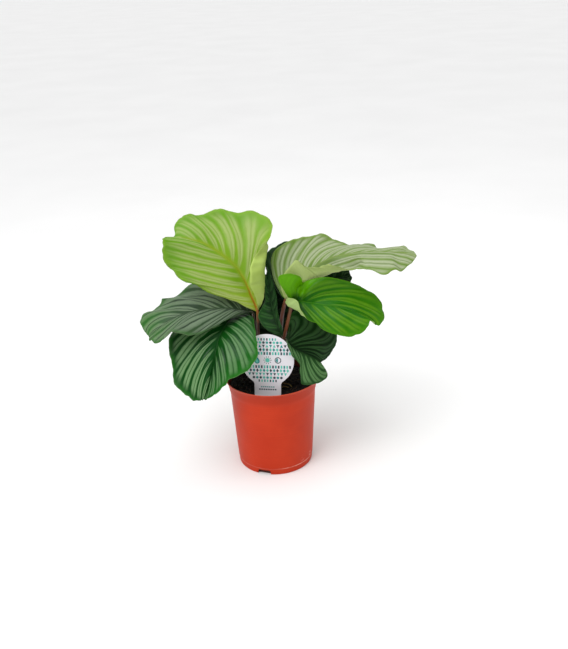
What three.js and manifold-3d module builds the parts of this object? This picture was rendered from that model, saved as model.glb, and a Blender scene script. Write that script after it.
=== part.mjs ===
// Potted calathea orbifolia: nursery pot, soil, plant tag, nine leaf blades and their petioles.
// Millimetres, +Z up, origin on the pot's axis at the level its foot ring stands on.
import * as THREE from "three";
import { mergeVertices } from "three/addons/utils/BufferGeometryUtils.js";
import Module from "manifold-3d";

// ---- driving dimensions ----
const POT_RIM_R = 62.2;         // outer radius at the rim
const POT_HEIGHT = 123.9;
const POT_FOOT_R = 49.1;       // outer radius at the foot ring
const POT_WALL = 1.5;
const POT_FLOOR_Z = 1.8;       // underside of the pot's floor
const POT_FLOOR_T = 1.8;
const POT_SEGMENTS = 44;
const NOTCH_COUNT = 3;         // drain notches through the foot ring
const NOTCH_W = 17;
const NOTCH_H = 6.2;
const NOTCH_FIRST_DEG = -109.5;
const DRAIN_R = 5;             // drain holes in the floor
const DRAIN_RING_R = 30;
const DRAIN_COUNT = 6;
const SOIL_TOP_Z = 112.5;
const SOIL_GAP = 0.35;
const BLADE_T = 0.8;           // thickness of a leaf blade
const BLADE_STEPS = { leaf_1: 20, leaf_2: 16, leaf_3: 17, leaf_4: 22, leaf_5: 20, leaf_6: 14, leaf_7: 12, leaf_8: 12, leaf_9: 10 };
const PETIOLE_SIDES = 8;
const FIT_GAP = 0.35;          // clearance around petioles and tag in the soil
const TAG_T = 0.8;
const TAG_DISC_R = 34;
const TAG_DISC_H = 47.0;       // disc centre above the soil, along the tag
const TAG_STEM_W = 34;
const TAG_AZIMUTH_DEG = -10;
const TAG_LEAN_DEG = 10;
const TAG_RADIUS = 38.5;       // distance of the tag from the pot's axis at the soil
const TAG_DEPTH = 14;          // length of the stem below the soil's surface

// Outline of the pot's wall, outside, from the foot up: [radius, height].
const POT_OUTSIDE = [
  [POT_FOOT_R - 0.4, 0], [POT_FOOT_R + 0.3, 7.6], [POT_FOOT_R + 1.0, 9.0],
  [55.7, 101], [56.2, 104.4], [57.1, 106.6], [57.9, 112], [59.4, 118.2], [61.1, 121.8],
  [POT_RIM_R, 123.3], [POT_RIM_R - 0.4, POT_HEIGHT],
];

// Leaf blades: rows run from the blade's foot to its tip, each row from the left margin over the
// midrib (fifth point) to the right margin along a pair of side veins.
const BLADE_NETS = {
  leaf_1: [
    [[-15.74,-3.2,213.89],[-15.49,-3.15,214.09],[-15.24,-3.1,214.29],[-14.99,-3.05,214.49],[-14.74,-3.0,214.69],[-14.49,-2.95,214.89],[-14.24,-2.9,215.09],[-13.99,-2.85,215.28],[-13.73,-2.8,215.48]],
    [[-28.86,-5.0,222.1],[-26.05,-5.22,220.61],[-22.98,-4.8,219.51],[-19.65,-3.72,218.79],[-16.07,-2.0,218.45],[-10.23,-2.81,223.79],[-6.84,-3.99,231.54],[-9.05,-7.75,236.35],[-15.82,-14.0,236.79]],
    [[-41.58,-5.0,230.48],[-36.3,-5.76,227.63],[-30.56,-5.35,225.53],[-24.36,-3.76,224.18],[-17.7,-1.0,223.58],[-10.77,1.99,235.42],[-4.19,-0.78,248.32],[-8.24,-9.05,254.79],[-21.42,-20.0,255.29]],
    [[-58.07,-5.0,237.11],[-49.06,-6.89,233.69],[-39.67,-6.69,231.15],[-29.88,-4.39,229.49],[-19.71,-0.0,228.72],[-12.88,5.17,244.29],[-3.62,5.18,261.56],[-5.63,-3.36,271.66],[-21.6,-18.0,272.83]],
    [[-73.84,-6.0,243.26],[-60.74,-8.55,239.99],[-47.72,-8.07,237.38],[-34.79,-4.55,235.43],[-21.95,2.0,234.15],[-17.12,6.82,251.49],[-6.05,12.41,270.42],[-1.02,11.13,283.67],[-17.48,-4.0,283.91]],
    [[-77.99,-6.0,246.15],[-63.84,-8.6,242.86],[-49.93,-7.96,240.23],[-36.25,-4.1,238.25],[-22.81,3.0,236.91],[-19.42,7.43,254.13],[-9.64,13.88,272.27],[1.27,17.18,288.02],[-8.37,3.0,292.9]],
    [[-80.92,-6.2,248.37],[-65.77,-8.78,244.95],[-51.12,-8.0,242.18],[-36.98,-3.88,240.07],[-23.35,3.6,238.6],[-20.69,7.16,255.6],[-11.92,14.22,273.85],[1.42,21.91,291.25],[-2.13,11.0,297.24]],
    [[-83.78,-6.4,251.52],[-67.72,-9.02,248.19],[-52.38,-8.12,245.23],[-37.77,-3.72,242.64],[-23.89,4.2,240.42],[-19.81,8.2,257.52],[-14.24,13.91,274.27],[-6.02,21.0,290.19],[4.53,19.5,304.08]],
    [[-89.05,-7.0,255.07],[-71.6,-9.52,251.9],[-55.11,-8.29,248.81],[-39.59,-3.32,245.8],[-25.02,5.4,242.85],[-19.86,10.32,261.04],[-14.36,16.72,279.31],[-6.8,24.46,296.45],[8.02,29.0,307.99]],
    [[-96.15,-8.0,258.44],[-76.81,-10.29,255.0],[-58.74,-8.55,251.77],[-41.93,-2.79,248.75],[-26.38,7.0,245.95],[-20.3,12.82,265.15],[-14.83,20.99,284.46],[-7.08,30.46,301.88],[9.41,36.0,313.38]],
    [[-102.14,-8.5,260.25],[-81.22,-10.51,257.08],[-61.87,-8.35,254.27],[-44.12,-2.01,251.84],[-27.94,8.5,249.77],[-21.71,14.98,270.0],[-16.71,24.37,289.65],[-9.56,35.36,307.33],[5.12,43.5,321.82]],
    [[-107.87,-9.0,264.94],[-85.43,-10.72,261.95],[-64.93,-8.13,259.09],[-46.37,-1.22,256.36],[-29.75,10.0,253.74],[-23.35,16.69,273.61],[-19.31,26.53,292.56],[-15.03,38.9,309.95],[-5.13,50.0,325.93]],
    [[-111.88,-8.7,268.7],[-88.72,-9.97,266.16],[-67.76,-6.95,263.56],[-48.99,0.38,260.92],[-32.42,12.0,258.23],[-26.53,19.11,277.48],[-22.93,29.37,295.42],[-20.86,42.1,312.35],[-17.65,54.0,329.57]],
    [[-115.67,-8.0,275.17],[-91.69,-8.69,272.34],[-70.35,-5.25,269.41],[-51.64,2.31,266.4],[-35.55,14.0,263.29],[-30.05,21.13,280.85],[-28.4,31.59,296.75],[-29.54,44.42,311.54],[-29.26,56.0,327.18]],
    [[-120.27,-7.6,278.9],[-95.57,-7.57,276.73],[-73.91,-3.66,274.33],[-55.27,4.13,271.71],[-39.66,15.8,268.86],[-35.52,23.03,285.82],[-35.36,33.37,301.0],[-38.98,45.82,314.77],[-43.48,57.5,328.6]],
    [[-123.2,-8.0,282.7],[-98.53,-7.02,281.09],[-77.17,-2.53,279.1],[-59.13,5.48,276.74],[-44.41,17.0,273.99],[-42.69,24.91,291.02],[-44.0,35.95,305.95],[-49.0,47.86,319.67],[-56.3,58.0,333.66]],
    [[-125.57,-8.6,289.49],[-101.63,-6.48,288.01],[-81.22,-1.4,285.94],[-64.33,6.67,283.29],[-50.96,17.7,280.04],[-52.21,26.0,294.67],[-54.71,36.51,307.82],[-60.48,47.59,319.18],[-71.12,55.5,329.55]],
    [[-126.44,-9.0,298.02],[-104.0,-5.77,296.23],[-85.13,-0.2,293.67],[-69.82,7.73,290.34],[-58.09,18.0,286.24],[-61.03,26.34,298.53],[-66.12,34.63,309.67],[-74.13,42.84,319.2],[-83.71,51.0,327.88]],
    [[-125.9,-9.0,303.75],[-106.24,-5.05,302.33],[-89.86,0.65,300.07],[-76.77,8.1,296.99],[-66.97,17.3,293.08],[-71.13,25.14,303.94],[-76.8,32.88,313.88],[-84.56,40.48,322.54],[-93.44,48.0,330.51]],
    [[-125.13,-9.0,309.44],[-108.47,-4.23,308.78],[-94.69,1.53,306.92],[-83.8,8.27,303.84],[-75.78,16.0,299.56],[-80.69,22.74,308.73],[-86.78,29.56,316.75],[-94.6,36.5,323.09],[-103.37,43.5,328.5]],
    [[-125.63,-7.0,313.89],[-114.8,-2.92,314.06],[-105.83,1.44,313.11],[-98.7,6.08,311.04],[-93.42,11.0,307.86],[-97.94,15.31,312.53],[-102.71,19.91,316.53],[-107.82,24.86,319.64],[-113.1,30.0,322.3]],
    [[-125.39,-4.0,315.71],[-119.92,-1.81,316.16],[-115.27,0.25,315.87],[-111.44,2.19,314.86],[-108.43,4.0,313.12],[-109.59,6.4,312.63],[-110.62,8.86,312.43],[-111.46,11.41,312.6],[-112.21,14.0,312.96]],
    [[-122.76,-2.65,316.56],[-122.62,-2.49,316.63],[-122.48,-2.33,316.7],[-122.34,-2.16,316.76],[-122.2,-2.0,316.83],[-122.06,-1.84,316.89],[-121.92,-1.67,316.96],[-121.78,-1.51,317.03],[-121.64,-1.35,317.09]],
  ],
  leaf_2: [
    [[-21.9,1.06,210.7],[-21.89,1.3,210.93],[-21.88,1.53,211.15],[-21.87,1.77,211.38],[-21.86,2.0,211.6],[-21.85,2.23,211.83],[-21.84,2.47,212.05],[-21.82,2.7,212.28],[-21.81,2.94,212.5]],
    [[-33.09,-9.0,213.34],[-30.2,-6.63,213.76],[-27.89,-4.09,213.79],[-26.15,-1.38,213.42],[-24.98,1.5,212.66],[-24.83,3.87,215.14],[-25.25,6.41,217.23],[-26.24,9.12,218.92],[-27.8,12.0,220.22]],
    [[-44.18,-18.0,214.3],[-38.97,-13.59,215.43],[-34.76,-8.95,215.77],[-31.55,-4.09,215.31],[-29.35,1.0,214.05],[-30.48,7.06,218.78],[-32.92,13.41,222.47],[-36.67,20.06,225.11],[-41.74,27.0,226.71]],
    [[-59.01,-27.0,212.13],[-50.97,-20.74,214.89],[-44.39,-14.07,216.41],[-39.26,-6.99,216.67],[-35.59,0.5,215.68],[-40.05,9.23,223.27],[-46.62,18.55,229.04],[-55.32,28.48,232.98],[-66.13,39.0,235.11]],
    [[-78.93,-36.0,204.54],[-67.41,-28.13,210.66],[-57.8,-19.51,214.89],[-50.11,-10.13,217.24],[-44.33,-0.0,217.7],[-52.13,10.47,226.57],[-62.53,21.96,232.88],[-75.52,34.47,236.63],[-91.11,48.0,237.83]],
    [[-98.16,-44.0,203.73],[-83.94,-34.2,211.35],[-71.9,-23.59,216.42],[-62.05,-12.2,218.94],[-54.38,0.0,218.9],[-63.41,11.26,226.52],[-74.94,23.43,231.22],[-88.96,36.51,233.0],[-105.49,50.5,231.87]],
    [[-108.7,-46.0,207.45],[-93.42,-35.09,214.79],[-80.33,-23.79,219.22],[-69.41,-12.09,220.74],[-60.67,0.0,219.36],[-71.29,11.83,224.56],[-84.35,24.11,226.49],[-99.86,36.83,225.16],[-117.82,50.0,220.56]],
    [[-118.54,-48.0,211.25],[-102.39,-36.26,218.06],[-88.42,-24.35,221.71],[-76.61,-12.26,222.21],[-66.98,0.0,219.54],[-77.99,11.6,224.28],[-91.29,23.38,225.68],[-106.88,35.35,223.76],[-124.77,47.5,218.5]],
    [[-123.81,-48.0,209.4],[-108.26,-36.36,216.66],[-94.76,-24.55,220.77],[-83.31,-12.56,221.72],[-73.91,-0.4,219.52],[-85.27,10.43,224.33],[-98.78,21.44,225.83],[-114.46,32.63,224.0],[-132.29,44.0,218.86]],
    [[-128.12,-48.0,206.15],[-113.4,-36.7,214.1],[-100.61,-25.1,218.95],[-89.76,-13.2,220.68],[-80.85,-1.0,219.3],[-92.45,8.78,224.55],[-106.08,18.87,226.53],[-121.75,29.28,225.24],[-139.46,40.0,220.67]],
    [[-131.06,-47.2,201.53],[-117.74,-36.26,210.35],[-106.2,-25.06,216.18],[-96.42,-13.61,219.0],[-88.41,-1.9,218.83],[-98.97,7.19,222.6],[-111.31,16.54,223.35],[-125.44,26.14,221.07],[-141.35,36.0,215.76]],
    [[-133.56,-46.0,196.95],[-121.75,-35.54,206.56],[-111.54,-24.89,213.3],[-102.95,-14.04,217.17],[-95.96,-3.0,218.17],[-106.26,4.96,220.93],[-118.18,13.11,220.83],[-131.69,21.46,217.86],[-146.82,30.0,212.01]],
    [[-137.09,-44.5,194.83],[-126.59,-34.85,204.49],[-117.49,-25.05,211.44],[-109.78,-15.1,215.68],[-103.46,-5.0,217.2],[-113.4,2.02,219.41],[-124.73,9.2,218.89],[-137.46,16.52,215.65],[-151.59,24.0,209.68]],
    [[-140.73,-43.0,194.19],[-131.61,-34.38,203.4],[-123.61,-25.51,210.08],[-116.73,-16.38,214.22],[-110.97,-7.0,215.82],[-120.94,-1.39,218.54],[-132.06,4.48,218.66],[-144.33,10.61,216.17],[-157.75,17.0,211.09]],
    [[-144.02,-40.5,194.71],[-136.19,-33.24,202.81],[-129.22,-25.66,208.68],[-123.11,-17.74,212.3],[-117.86,-9.5,213.68],[-127.34,-5.27,216.9],[-137.73,-0.69,217.74],[-149.02,4.23,216.22],[-161.23,9.5,212.32]],
    [[-146.51,-38.0,195.87],[-140.28,-31.73,202.59],[-134.59,-25.31,207.37],[-129.41,-18.73,210.23],[-124.77,-12.0,211.15],[-133.74,-8.76,213.34],[-143.3,-5.35,213.35],[-153.46,-1.76,211.16],[-164.21,2.0,206.79]],
    [[-148.68,-35.0,194.61],[-145.0,-30.86,199.18],[-141.66,-26.65,202.51],[-138.65,-22.36,204.6],[-135.99,-18.0,205.44],[-141.51,-16.12,206.89],[-147.39,-14.16,207.0],[-153.64,-12.12,205.78],[-160.25,-10.0,203.22]],
    [[-150.52,-32.0,195.66],[-148.99,-30.22,197.76],[-147.57,-28.46,199.33],[-146.26,-26.72,200.34],[-145.06,-25.0,200.81],[-147.41,-23.72,201.2],[-149.87,-22.46,200.98],[-152.46,-21.22,200.15],[-155.17,-20.0,198.71]],
    [[-150.21,-29.7,196.98],[-150.3,-29.52,197.09],[-150.38,-29.35,197.21],[-150.46,-29.17,197.32],[-150.55,-29.0,197.44],[-150.63,-28.83,197.55],[-150.71,-28.65,197.67],[-150.8,-28.48,197.79],[-150.88,-28.3,197.9]],
  ],
  leaf_3: [
    [[-41.28,6.15,208.74],[-41.58,6.11,208.61],[-41.87,6.08,208.48],[-42.17,6.04,208.36],[-42.47,6.0,208.23],[-42.77,5.96,208.11],[-43.06,5.92,207.98],[-43.36,5.89,207.85],[-43.66,5.85,207.73]],
    [[-30.91,9.0,209.85],[-33.91,7.94,210.27],[-37.12,6.92,209.99],[-40.54,5.94,209.02],[-44.16,5.0,207.35],[-50.51,5.89,209.2],[-57.28,6.85,209.66],[-64.47,7.89,208.73],[-72.07,9.0,206.42]],
    [[-23.87,2.0,207.29],[-29.0,2.45,208.78],[-34.42,2.76,209.17],[-40.11,2.95,208.45],[-46.08,3.0,206.63],[-58.98,5.0,209.59],[-72.57,6.67,209.75],[-86.87,8.0,207.12],[-101.87,9.0,201.69]],
    [[-19.67,-14.0,205.2],[-26.58,-10.1,207.72],[-33.74,-6.47,208.63],[-41.18,-3.1,207.9],[-48.88,0.0,205.55],[-66.57,1.68,207.74],[-84.89,2.73,206.11],[-103.83,3.18,200.68],[-123.4,3.0,191.44]],
    [[-18.36,-32.0,200.02],[-26.56,-24.44,204.35],[-34.91,-17.26,206.45],[-43.41,-10.44,206.32],[-52.05,-4.0,203.97],[-71.18,-4.21,203.97],[-90.58,-5.11,199.81],[-110.26,-6.71,191.48],[-130.22,-9.0,178.99]],
    [[-16.82,-46.0,189.98],[-26.43,-36.44,197.12],[-36.03,-27.08,201.46],[-45.63,-17.94,203.0],[-55.23,-9.0,201.73],[-73.44,-11.78,198.98],[-91.64,-14.87,192.0],[-109.83,-18.28,180.78],[-128.01,-22.0,165.34]],
    [[-16.87,-54.0,177.44],[-27.48,-44.31,187.37],[-37.95,-34.42,194.16],[-48.27,-24.31,197.8],[-58.45,-14.0,198.29],[-75.22,-18.92,192.73],[-91.78,-23.57,182.88],[-108.15,-27.92,168.76],[-124.32,-32.0,150.35]],
    [[-26.85,-60.0,162.47],[-35.87,-50.88,174.97],[-44.7,-41.01,184.35],[-53.31,-30.38,190.62],[-61.73,-19.0,193.79],[-78.04,-25.82,186.56],[-94.07,-31.6,175.01],[-109.82,-36.32,159.14],[-125.28,-40.0,138.94]],
    [[-42.05,-62.0,154.01],[-48.42,-53.86,166.34],[-54.39,-44.81,176.0],[-59.96,-34.86,182.97],[-65.13,-24.0,187.26],[-79.13,-31.45,179.06],[-92.55,-37.6,167.01],[-105.4,-42.45,151.1],[-117.68,-46.0,131.33]],
    [[-51.49,-62.0,150.39],[-56.38,-55.18,160.84],[-60.75,-47.57,169.12],[-64.62,-39.18,175.22],[-67.96,-30.0,179.14],[-79.88,-36.81,170.98],[-91.01,-42.42,159.48],[-101.35,-46.81,144.62],[-110.9,-50.0,126.41]],
    [[-58.76,-62.0,142.48],[-62.37,-56.77,152.17],[-65.53,-50.69,160.04],[-68.22,-43.77,166.1],[-70.46,-36.0,170.35],[-79.92,-42.18,162.58],[-88.68,-47.07,152.05],[-96.75,-50.68,138.75],[-104.11,-53.0,122.69]],
    [[-66.81,-61.0,133.34],[-68.94,-57.33,142.34],[-70.71,-52.78,149.85],[-72.13,-47.33,155.89],[-73.19,-41.0,160.44],[-80.32,-46.45,153.48],[-86.93,-50.6,144.36],[-93.02,-53.45,133.08],[-98.6,-55.0,119.63]],
    [[-74.74,-60.0,126.93],[-75.32,-57.64,134.14],[-75.71,-54.52,140.24],[-75.9,-50.64,145.24],[-75.89,-46.0,149.14],[-80.68,-50.3,144.11],[-85.21,-53.57,137.57],[-89.46,-55.8,129.54],[-93.45,-57.0,120.0]],
    [[-81.39,-58.0,122.14],[-80.94,-56.99,126.72],[-80.47,-55.49,130.65],[-79.96,-53.49,133.9],[-79.44,-51.0,136.49],[-82.22,-53.46,133.62],[-84.96,-55.28,129.88],[-87.67,-56.46,125.29],[-90.35,-57.0,119.83]],
    [[-84.69,-57.0,120.37],[-84.36,-56.84,122.39],[-84.09,-56.45,124.15],[-83.86,-55.84,125.65],[-83.69,-55.0,126.87],[-84.76,-55.93,125.59],[-85.89,-56.58,123.98],[-87.09,-56.93,122.02],[-88.36,-57.0,119.72]],
    [[-85.96,-57.0,121.39],[-86.19,-57.0,121.37],[-86.41,-57.0,121.36],[-86.64,-57.0,121.35],[-86.86,-57.0,121.34],[-87.09,-57.0,121.32],[-87.31,-57.0,121.31],[-87.54,-57.0,121.3],[-87.76,-57.0,121.28]],
  ],
  leaf_4: [
    [[20.58,6.78,225.37],[20.82,6.58,225.25],[21.05,6.39,225.14],[21.29,6.19,225.03],[21.52,6.0,224.92],[21.76,5.81,224.81],[21.99,5.61,224.7],[22.23,5.42,224.59],[22.47,5.22,224.47]],
    [[13.74,12.0,235.93],[14.92,10.34,233.43],[16.71,8.84,231.08],[19.11,7.49,228.88],[22.11,6.3,226.82],[28.49,0.56,225.71],[30.49,-4.47,226.63],[26.48,-8.5,230.35],[19.27,-12.0,235.56]],
    [[5.39,31.0,260.58],[6.92,23.91,252.28],[10.36,17.47,244.32],[15.71,11.66,236.7],[22.97,6.5,229.43],[32.85,-2.71,227.54],[35.23,-9.91,229.8],[28.25,-14.6,237.24],[16.41,-18.0,247.36]],
    [[11.2,43.0,279.17],[10.36,32.97,267.24],[12.27,23.63,255.5],[16.94,14.97,243.94],[24.37,7.0,232.57],[35.97,-4.45,232.17],[38.29,-12.92,236.47],[29.61,-17.87,246.34],[15.3,-21.0,259.07]],
    [[28.41,48.0,287.75],[23.33,37.46,275.07],[21.33,27.2,262.28],[22.41,17.21,249.37],[26.56,7.5,236.34],[38.54,-5.24,238.06],[41.83,-14.49,244.27],[34.18,-19.38,256.11],[20.85,-22.0,270.88]],
    [[44.23,53.0,291.59],[35.92,41.88,279.67],[30.83,30.67,267.33],[28.95,19.38,254.57],[30.3,8.0,241.38],[41.57,-5.41,244.49],[45.38,-15.22,251.95],[39.47,-20.34,265.08],[28.48,-23.0,281.17]],
    [[58.62,56.0,291.17],[48.27,44.71,281.29],[41.04,33.04,270.75],[36.94,20.96,259.54],[35.96,8.5,247.66],[49.2,-3.18,250.46],[54.09,-12.11,257.67],[48.19,-17.49,270.59],[36.63,-21.0,286.49]],
    [[71.71,57.0,294.14],[60.2,45.13,285.86],[51.75,33.1,276.64],[46.35,20.88,266.46],[44.02,8.5,255.32],[58.93,-1.48,255.77],[66.06,-10.04,259.06],[60.26,-16.23,267.06],[46.72,-21.0,277.9]],
    [[88.28,55.0,286.68],[75.73,43.75,282.57],[65.88,32.16,277.32],[58.73,20.25,270.93],[54.27,8.0,263.41],[71.16,-1.34,262.24],[80.56,-9.89,263.3],[76.08,-16.97,268.48],[61.78,-23.0,276.58]],
    [[105.9,50.0,280.4],[92.57,40.06,280.14],[81.63,29.5,278.58],[73.07,18.31,275.71],[66.9,6.5,271.54],[83.81,-3.73,267.75],[93.66,-12.95,266.88],[90.06,-20.21,271.58],[76.21,-26.0,280.52]],
    [[123.22,43.0,281.57],[109.52,33.73,283.38],[97.95,24.14,283.55],[88.51,14.23,282.07],[81.19,4.0,278.95],[95.7,-5.48,273.46],[105.24,-14.42,269.95],[104.84,-22.28,270.39],[94.06,-29.0,274.94]],
    [[136.48,36.0,282.94],[124.18,27.66,285.66],[113.54,19.21,286.59],[104.56,10.66,285.71],[97.23,2.0,283.03],[106.24,-6.76,281.22],[112.69,-15.63,279.44],[114.02,-24.69,277.73],[109.27,-34.0,276.1]],
    [[142.84,28.0,279.78],[134.03,21.04,283.42],[126.35,14.05,285.54],[119.81,7.04,286.14],[114.41,0.0,285.22],[115.49,-9.46,284.91],[117.73,-18.95,283.05],[121.12,-28.46,279.64],[125.67,-38.0,274.68]],
    [[155.76,19.0,281.07],[148.79,13.6,284.14],[142.64,8.31,285.98],[137.29,3.1,286.56],[132.75,-2.0,285.91],[132.52,-13.22,285.0],[133.48,-24.29,282.24],[135.65,-35.22,277.64],[139.03,-46.0,271.19]],
    [[168.29,11.0,286.66],[163.14,7.07,287.73],[158.55,3.26,287.88],[154.52,-0.43,287.11],[151.05,-4.0,285.43],[150.19,-13.3,285.21],[150.23,-22.4,283.49],[151.2,-31.3,280.28],[153.07,-40.0,275.58]],
    [[172.43,6.0,289.02],[168.7,2.84,289.0],[165.4,-0.15,288.31],[162.53,-2.96,286.93],[160.09,-5.6,284.88],[159.17,-13.96,283.57],[159.09,-21.98,280.93],[159.85,-29.66,276.96],[161.45,-37.0,271.66]],
    [[175.98,-0.0,285.48],[174.05,-2.06,285.73],[172.35,-4.05,285.56],[170.88,-5.96,284.98],[169.64,-7.8,283.99],[169.09,-13.35,283.21],[169.07,-18.74,281.5],[169.56,-23.95,278.86],[170.58,-29.0,275.28]],
    [[181.21,-5.0,285.34],[180.0,-6.36,285.09],[178.96,-7.65,284.56],[178.06,-8.86,283.76],[177.32,-10.0,282.68],[176.85,-13.22,282.06],[176.68,-16.29,280.9],[176.8,-19.22,279.21],[177.22,-22.0,276.99]],
    [[184.08,-11.47,282.02],[184.01,-11.6,281.86],[183.93,-11.74,281.69],[183.85,-11.87,281.52],[183.78,-12.0,281.36],[183.7,-12.13,281.19],[183.62,-12.26,281.03],[183.55,-12.4,280.86],[183.47,-12.53,280.7]],
  ],
  leaf_5: [
    [[27.89,-26.59,233.15],[28.14,-26.69,232.96],[28.38,-26.79,232.77],[28.62,-26.9,232.58],[28.87,-27.0,232.39],[29.11,-27.1,232.2],[29.35,-27.21,232.01],[29.6,-27.31,231.82],[29.84,-27.41,231.63]],
    [[24.28,-38.0,243.87],[25.51,-35.47,240.87],[26.82,-32.81,238.03],[28.25,-29.96,235.44],[29.75,-27.0,233.01],[24.16,-30.4,233.94],[20.82,-33.85,236.12],[21.02,-37.4,240.25],[23.25,-41.0,245.51]],
    [[18.31,-40.5,255.55],[21.63,-37.64,249.73],[24.86,-34.4,244.09],[27.98,-30.61,238.74],[31.02,-26.5,233.54],[26.04,-33.14,232.62],[23.89,-38.69,233.94],[26.11,-42.56,238.68],[30.79,-45.5,245.35]],
    [[12.79,-42.0,269.62],[18.9,-38.95,261.04],[24.37,-35.45,252.3],[28.76,-31.2,243.29],[32.52,-26.5,234.13],[29.76,-34.21,231.39],[28.79,-40.61,231.19],[30.9,-44.76,235.38],[34.95,-47.5,242.3]],
    [[16.18,-41.0,275.71],[21.68,-37.55,265.82],[26.6,-33.99,255.7],[30.62,-30.29,245.23],[34.14,-26.5,234.57],[34.1,-33.6,230.21],[34.4,-39.94,228.2],[35.38,-44.82,230.75],[36.91,-48.5,237.02]],
    [[28.66,-37.0,275.42],[29.88,-34.68,265.23],[31.41,-32.26,255.12],[33.43,-29.67,245.14],[35.73,-27.0,235.22],[37.76,-33.26,227.98],[39.31,-39.09,223.2],[39.9,-44.05,223.36],[39.37,-48.0,229.23]],
    [[39.59,-31.0,268.58],[37.63,-29.23,260.49],[36.43,-27.94,252.28],[36.46,-27.4,243.89],[37.2,-27.3,235.4],[38.01,-33.05,231.6],[39.67,-38.08,227.62],[42.17,-42.4,223.46],[45.52,-46.0,219.12]],
    [[42.28,-22.5,257.5],[40.68,-23.25,251.99],[39.46,-24.31,246.48],[38.79,-25.83,240.97],[38.42,-27.6,235.46],[40.06,-33.67,231.29],[42.68,-39.01,226.62],[46.27,-43.62,221.45],[50.83,-47.5,215.77]],
    [[51.27,-18.5,259.09],[47.68,-20.4,253.36],[44.51,-22.56,247.52],[42.04,-25.16,241.51],[40.0,-28.0,235.41],[42.45,-34.34,231.1],[45.96,-39.96,226.1],[50.53,-44.84,220.41],[56.18,-49.0,214.02]],
    [[70.29,-20.0,262.76],[61.75,-23.61,257.19],[54.36,-26.31,250.73],[48.11,-28.11,243.38],[43.01,-29.0,235.13],[45.86,-36.36,229.97],[49.85,-42.81,223.91],[54.99,-48.36,216.97],[61.27,-53.0,209.12]],
    [[97.61,-16.5,254.2],[82.96,-21.7,251.46],[69.72,-25.68,247.22],[57.89,-28.45,241.48],[47.48,-30.0,234.24],[51.35,-38.5,229.02],[56.39,-46.0,222.57],[62.58,-52.5,214.88],[69.93,-58.0,205.97]],
    [[121.43,-14.0,241.6],[101.94,-20.03,242.71],[84.24,-24.88,241.71],[68.31,-28.53,238.6],[54.15,-31.0,233.38],[58.82,-39.79,227.92],[64.77,-47.72,220.93],[72.01,-54.79,212.41],[80.54,-61.0,202.37]],
    [[136.4,-19.0,231.06],[115.03,-23.9,235.01],[95.61,-27.87,236.56],[78.13,-30.9,235.7],[62.59,-33.0,232.43],[67.72,-41.48,226.95],[74.2,-49.3,219.8],[82.04,-56.48,210.96],[91.23,-63.0,200.45]],
    [[141.22,-28.0,219.05],[121.77,-31.0,225.72],[103.98,-33.33,230.0],[87.85,-35.0,231.89],[73.38,-36.0,231.38],[79.08,-43.47,226.57],[85.98,-50.46,220.04],[94.07,-56.97,211.78],[103.35,-63.0,201.8]],
    [[141.11,-37.0,213.44],[125.72,-38.16,220.56],[111.5,-38.87,225.57],[98.44,-39.16,228.49],[86.55,-39.0,229.29],[91.95,-44.98,225.78],[98.21,-50.64,220.71],[105.32,-55.98,214.11],[113.28,-61.0,205.95]],
    [[138.82,-43.0,209.42],[128.44,-43.06,215.98],[118.64,-43.08,220.87],[109.42,-43.06,224.07],[100.78,-43.0,225.59],[104.73,-46.79,223.76],[109.05,-50.55,220.82],[113.76,-54.29,216.78],[118.85,-58.0,211.62]],
    [[135.57,-47.0,207.57],[129.62,-46.44,212.51],[123.82,-46.09,216.35],[118.16,-45.94,219.07],[112.64,-46.0,220.68],[114.73,-47.85,220.25],[116.89,-49.8,219.27],[119.11,-51.85,217.75],[121.41,-54.0,215.7]],
    [[132.42,-49.5,206.82],[129.89,-48.83,209.57],[127.34,-48.36,211.8],[124.77,-48.08,213.5],[122.18,-48.0,214.68],[123.13,-48.87,214.67],[124.08,-49.83,214.44],[125.01,-50.87,213.98],[125.94,-52.0,213.28]],
    [[130.17,-50.0,208.38],[129.95,-50.0,208.35],[129.73,-50.0,208.32],[129.5,-50.0,208.3],[129.28,-50.0,208.27],[129.06,-50.0,208.24],[128.83,-50.0,208.21],[128.61,-50.0,208.18],[128.39,-50.0,208.15]],
  ],
  leaf_6: [
    [[20.48,-20.24,183.7],[20.33,-20.43,183.48],[20.19,-20.62,183.26],[20.05,-20.81,183.04],[19.91,-21.0,182.81],[19.76,-21.19,182.59],[19.62,-21.38,182.37],[19.48,-21.57,182.15],[19.34,-21.76,181.93]],
    [[24.12,-4.0,190.31],[23.82,-9.43,188.55],[23.3,-14.71,186.53],[22.4,-19.7,184.01],[21.23,-24.5,181.15],[21.1,-25.83,181.56],[20.94,-27.19,181.78],[20.75,-28.58,181.8],[20.54,-30.0,181.63]],
    [[26.36,8.0,200.38],[25.9,0.59,192.81],[25.21,-7.58,186.5],[24.17,-16.95,182.14],[22.94,-27.0,178.88],[22.33,-29.62,179.61],[21.71,-32.25,179.95],[21.08,-34.87,179.89],[20.43,-37.5,179.45]],
    [[35.25,15.0,206.76],[32.79,6.06,196.09],[30.27,-4.04,187.17],[27.63,-16.09,181.18],[24.92,-29.3,176.93],[24.41,-32.09,176.68],[23.92,-34.81,176.01],[23.44,-37.44,174.95],[22.98,-40.0,173.48]],
    [[48.95,18.0,205.95],[42.55,7.8,195.98],[36.63,-3.35,187.16],[31.53,-16.15,180.35],[26.95,-30.0,174.8],[26.88,-33.14,173.42],[26.86,-36.11,171.56],[26.87,-38.89,169.21],[26.92,-41.5,166.39]],
    [[62.94,17.0,197.51],[53.26,6.2,190.71],[44.21,-5.19,184.25],[36.31,-17.7,178.43],[29.24,-31.0,173.07],[29.57,-34.19,170.97],[30.02,-37.17,168.32],[30.56,-39.94,165.13],[31.21,-42.5,161.38]],
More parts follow.
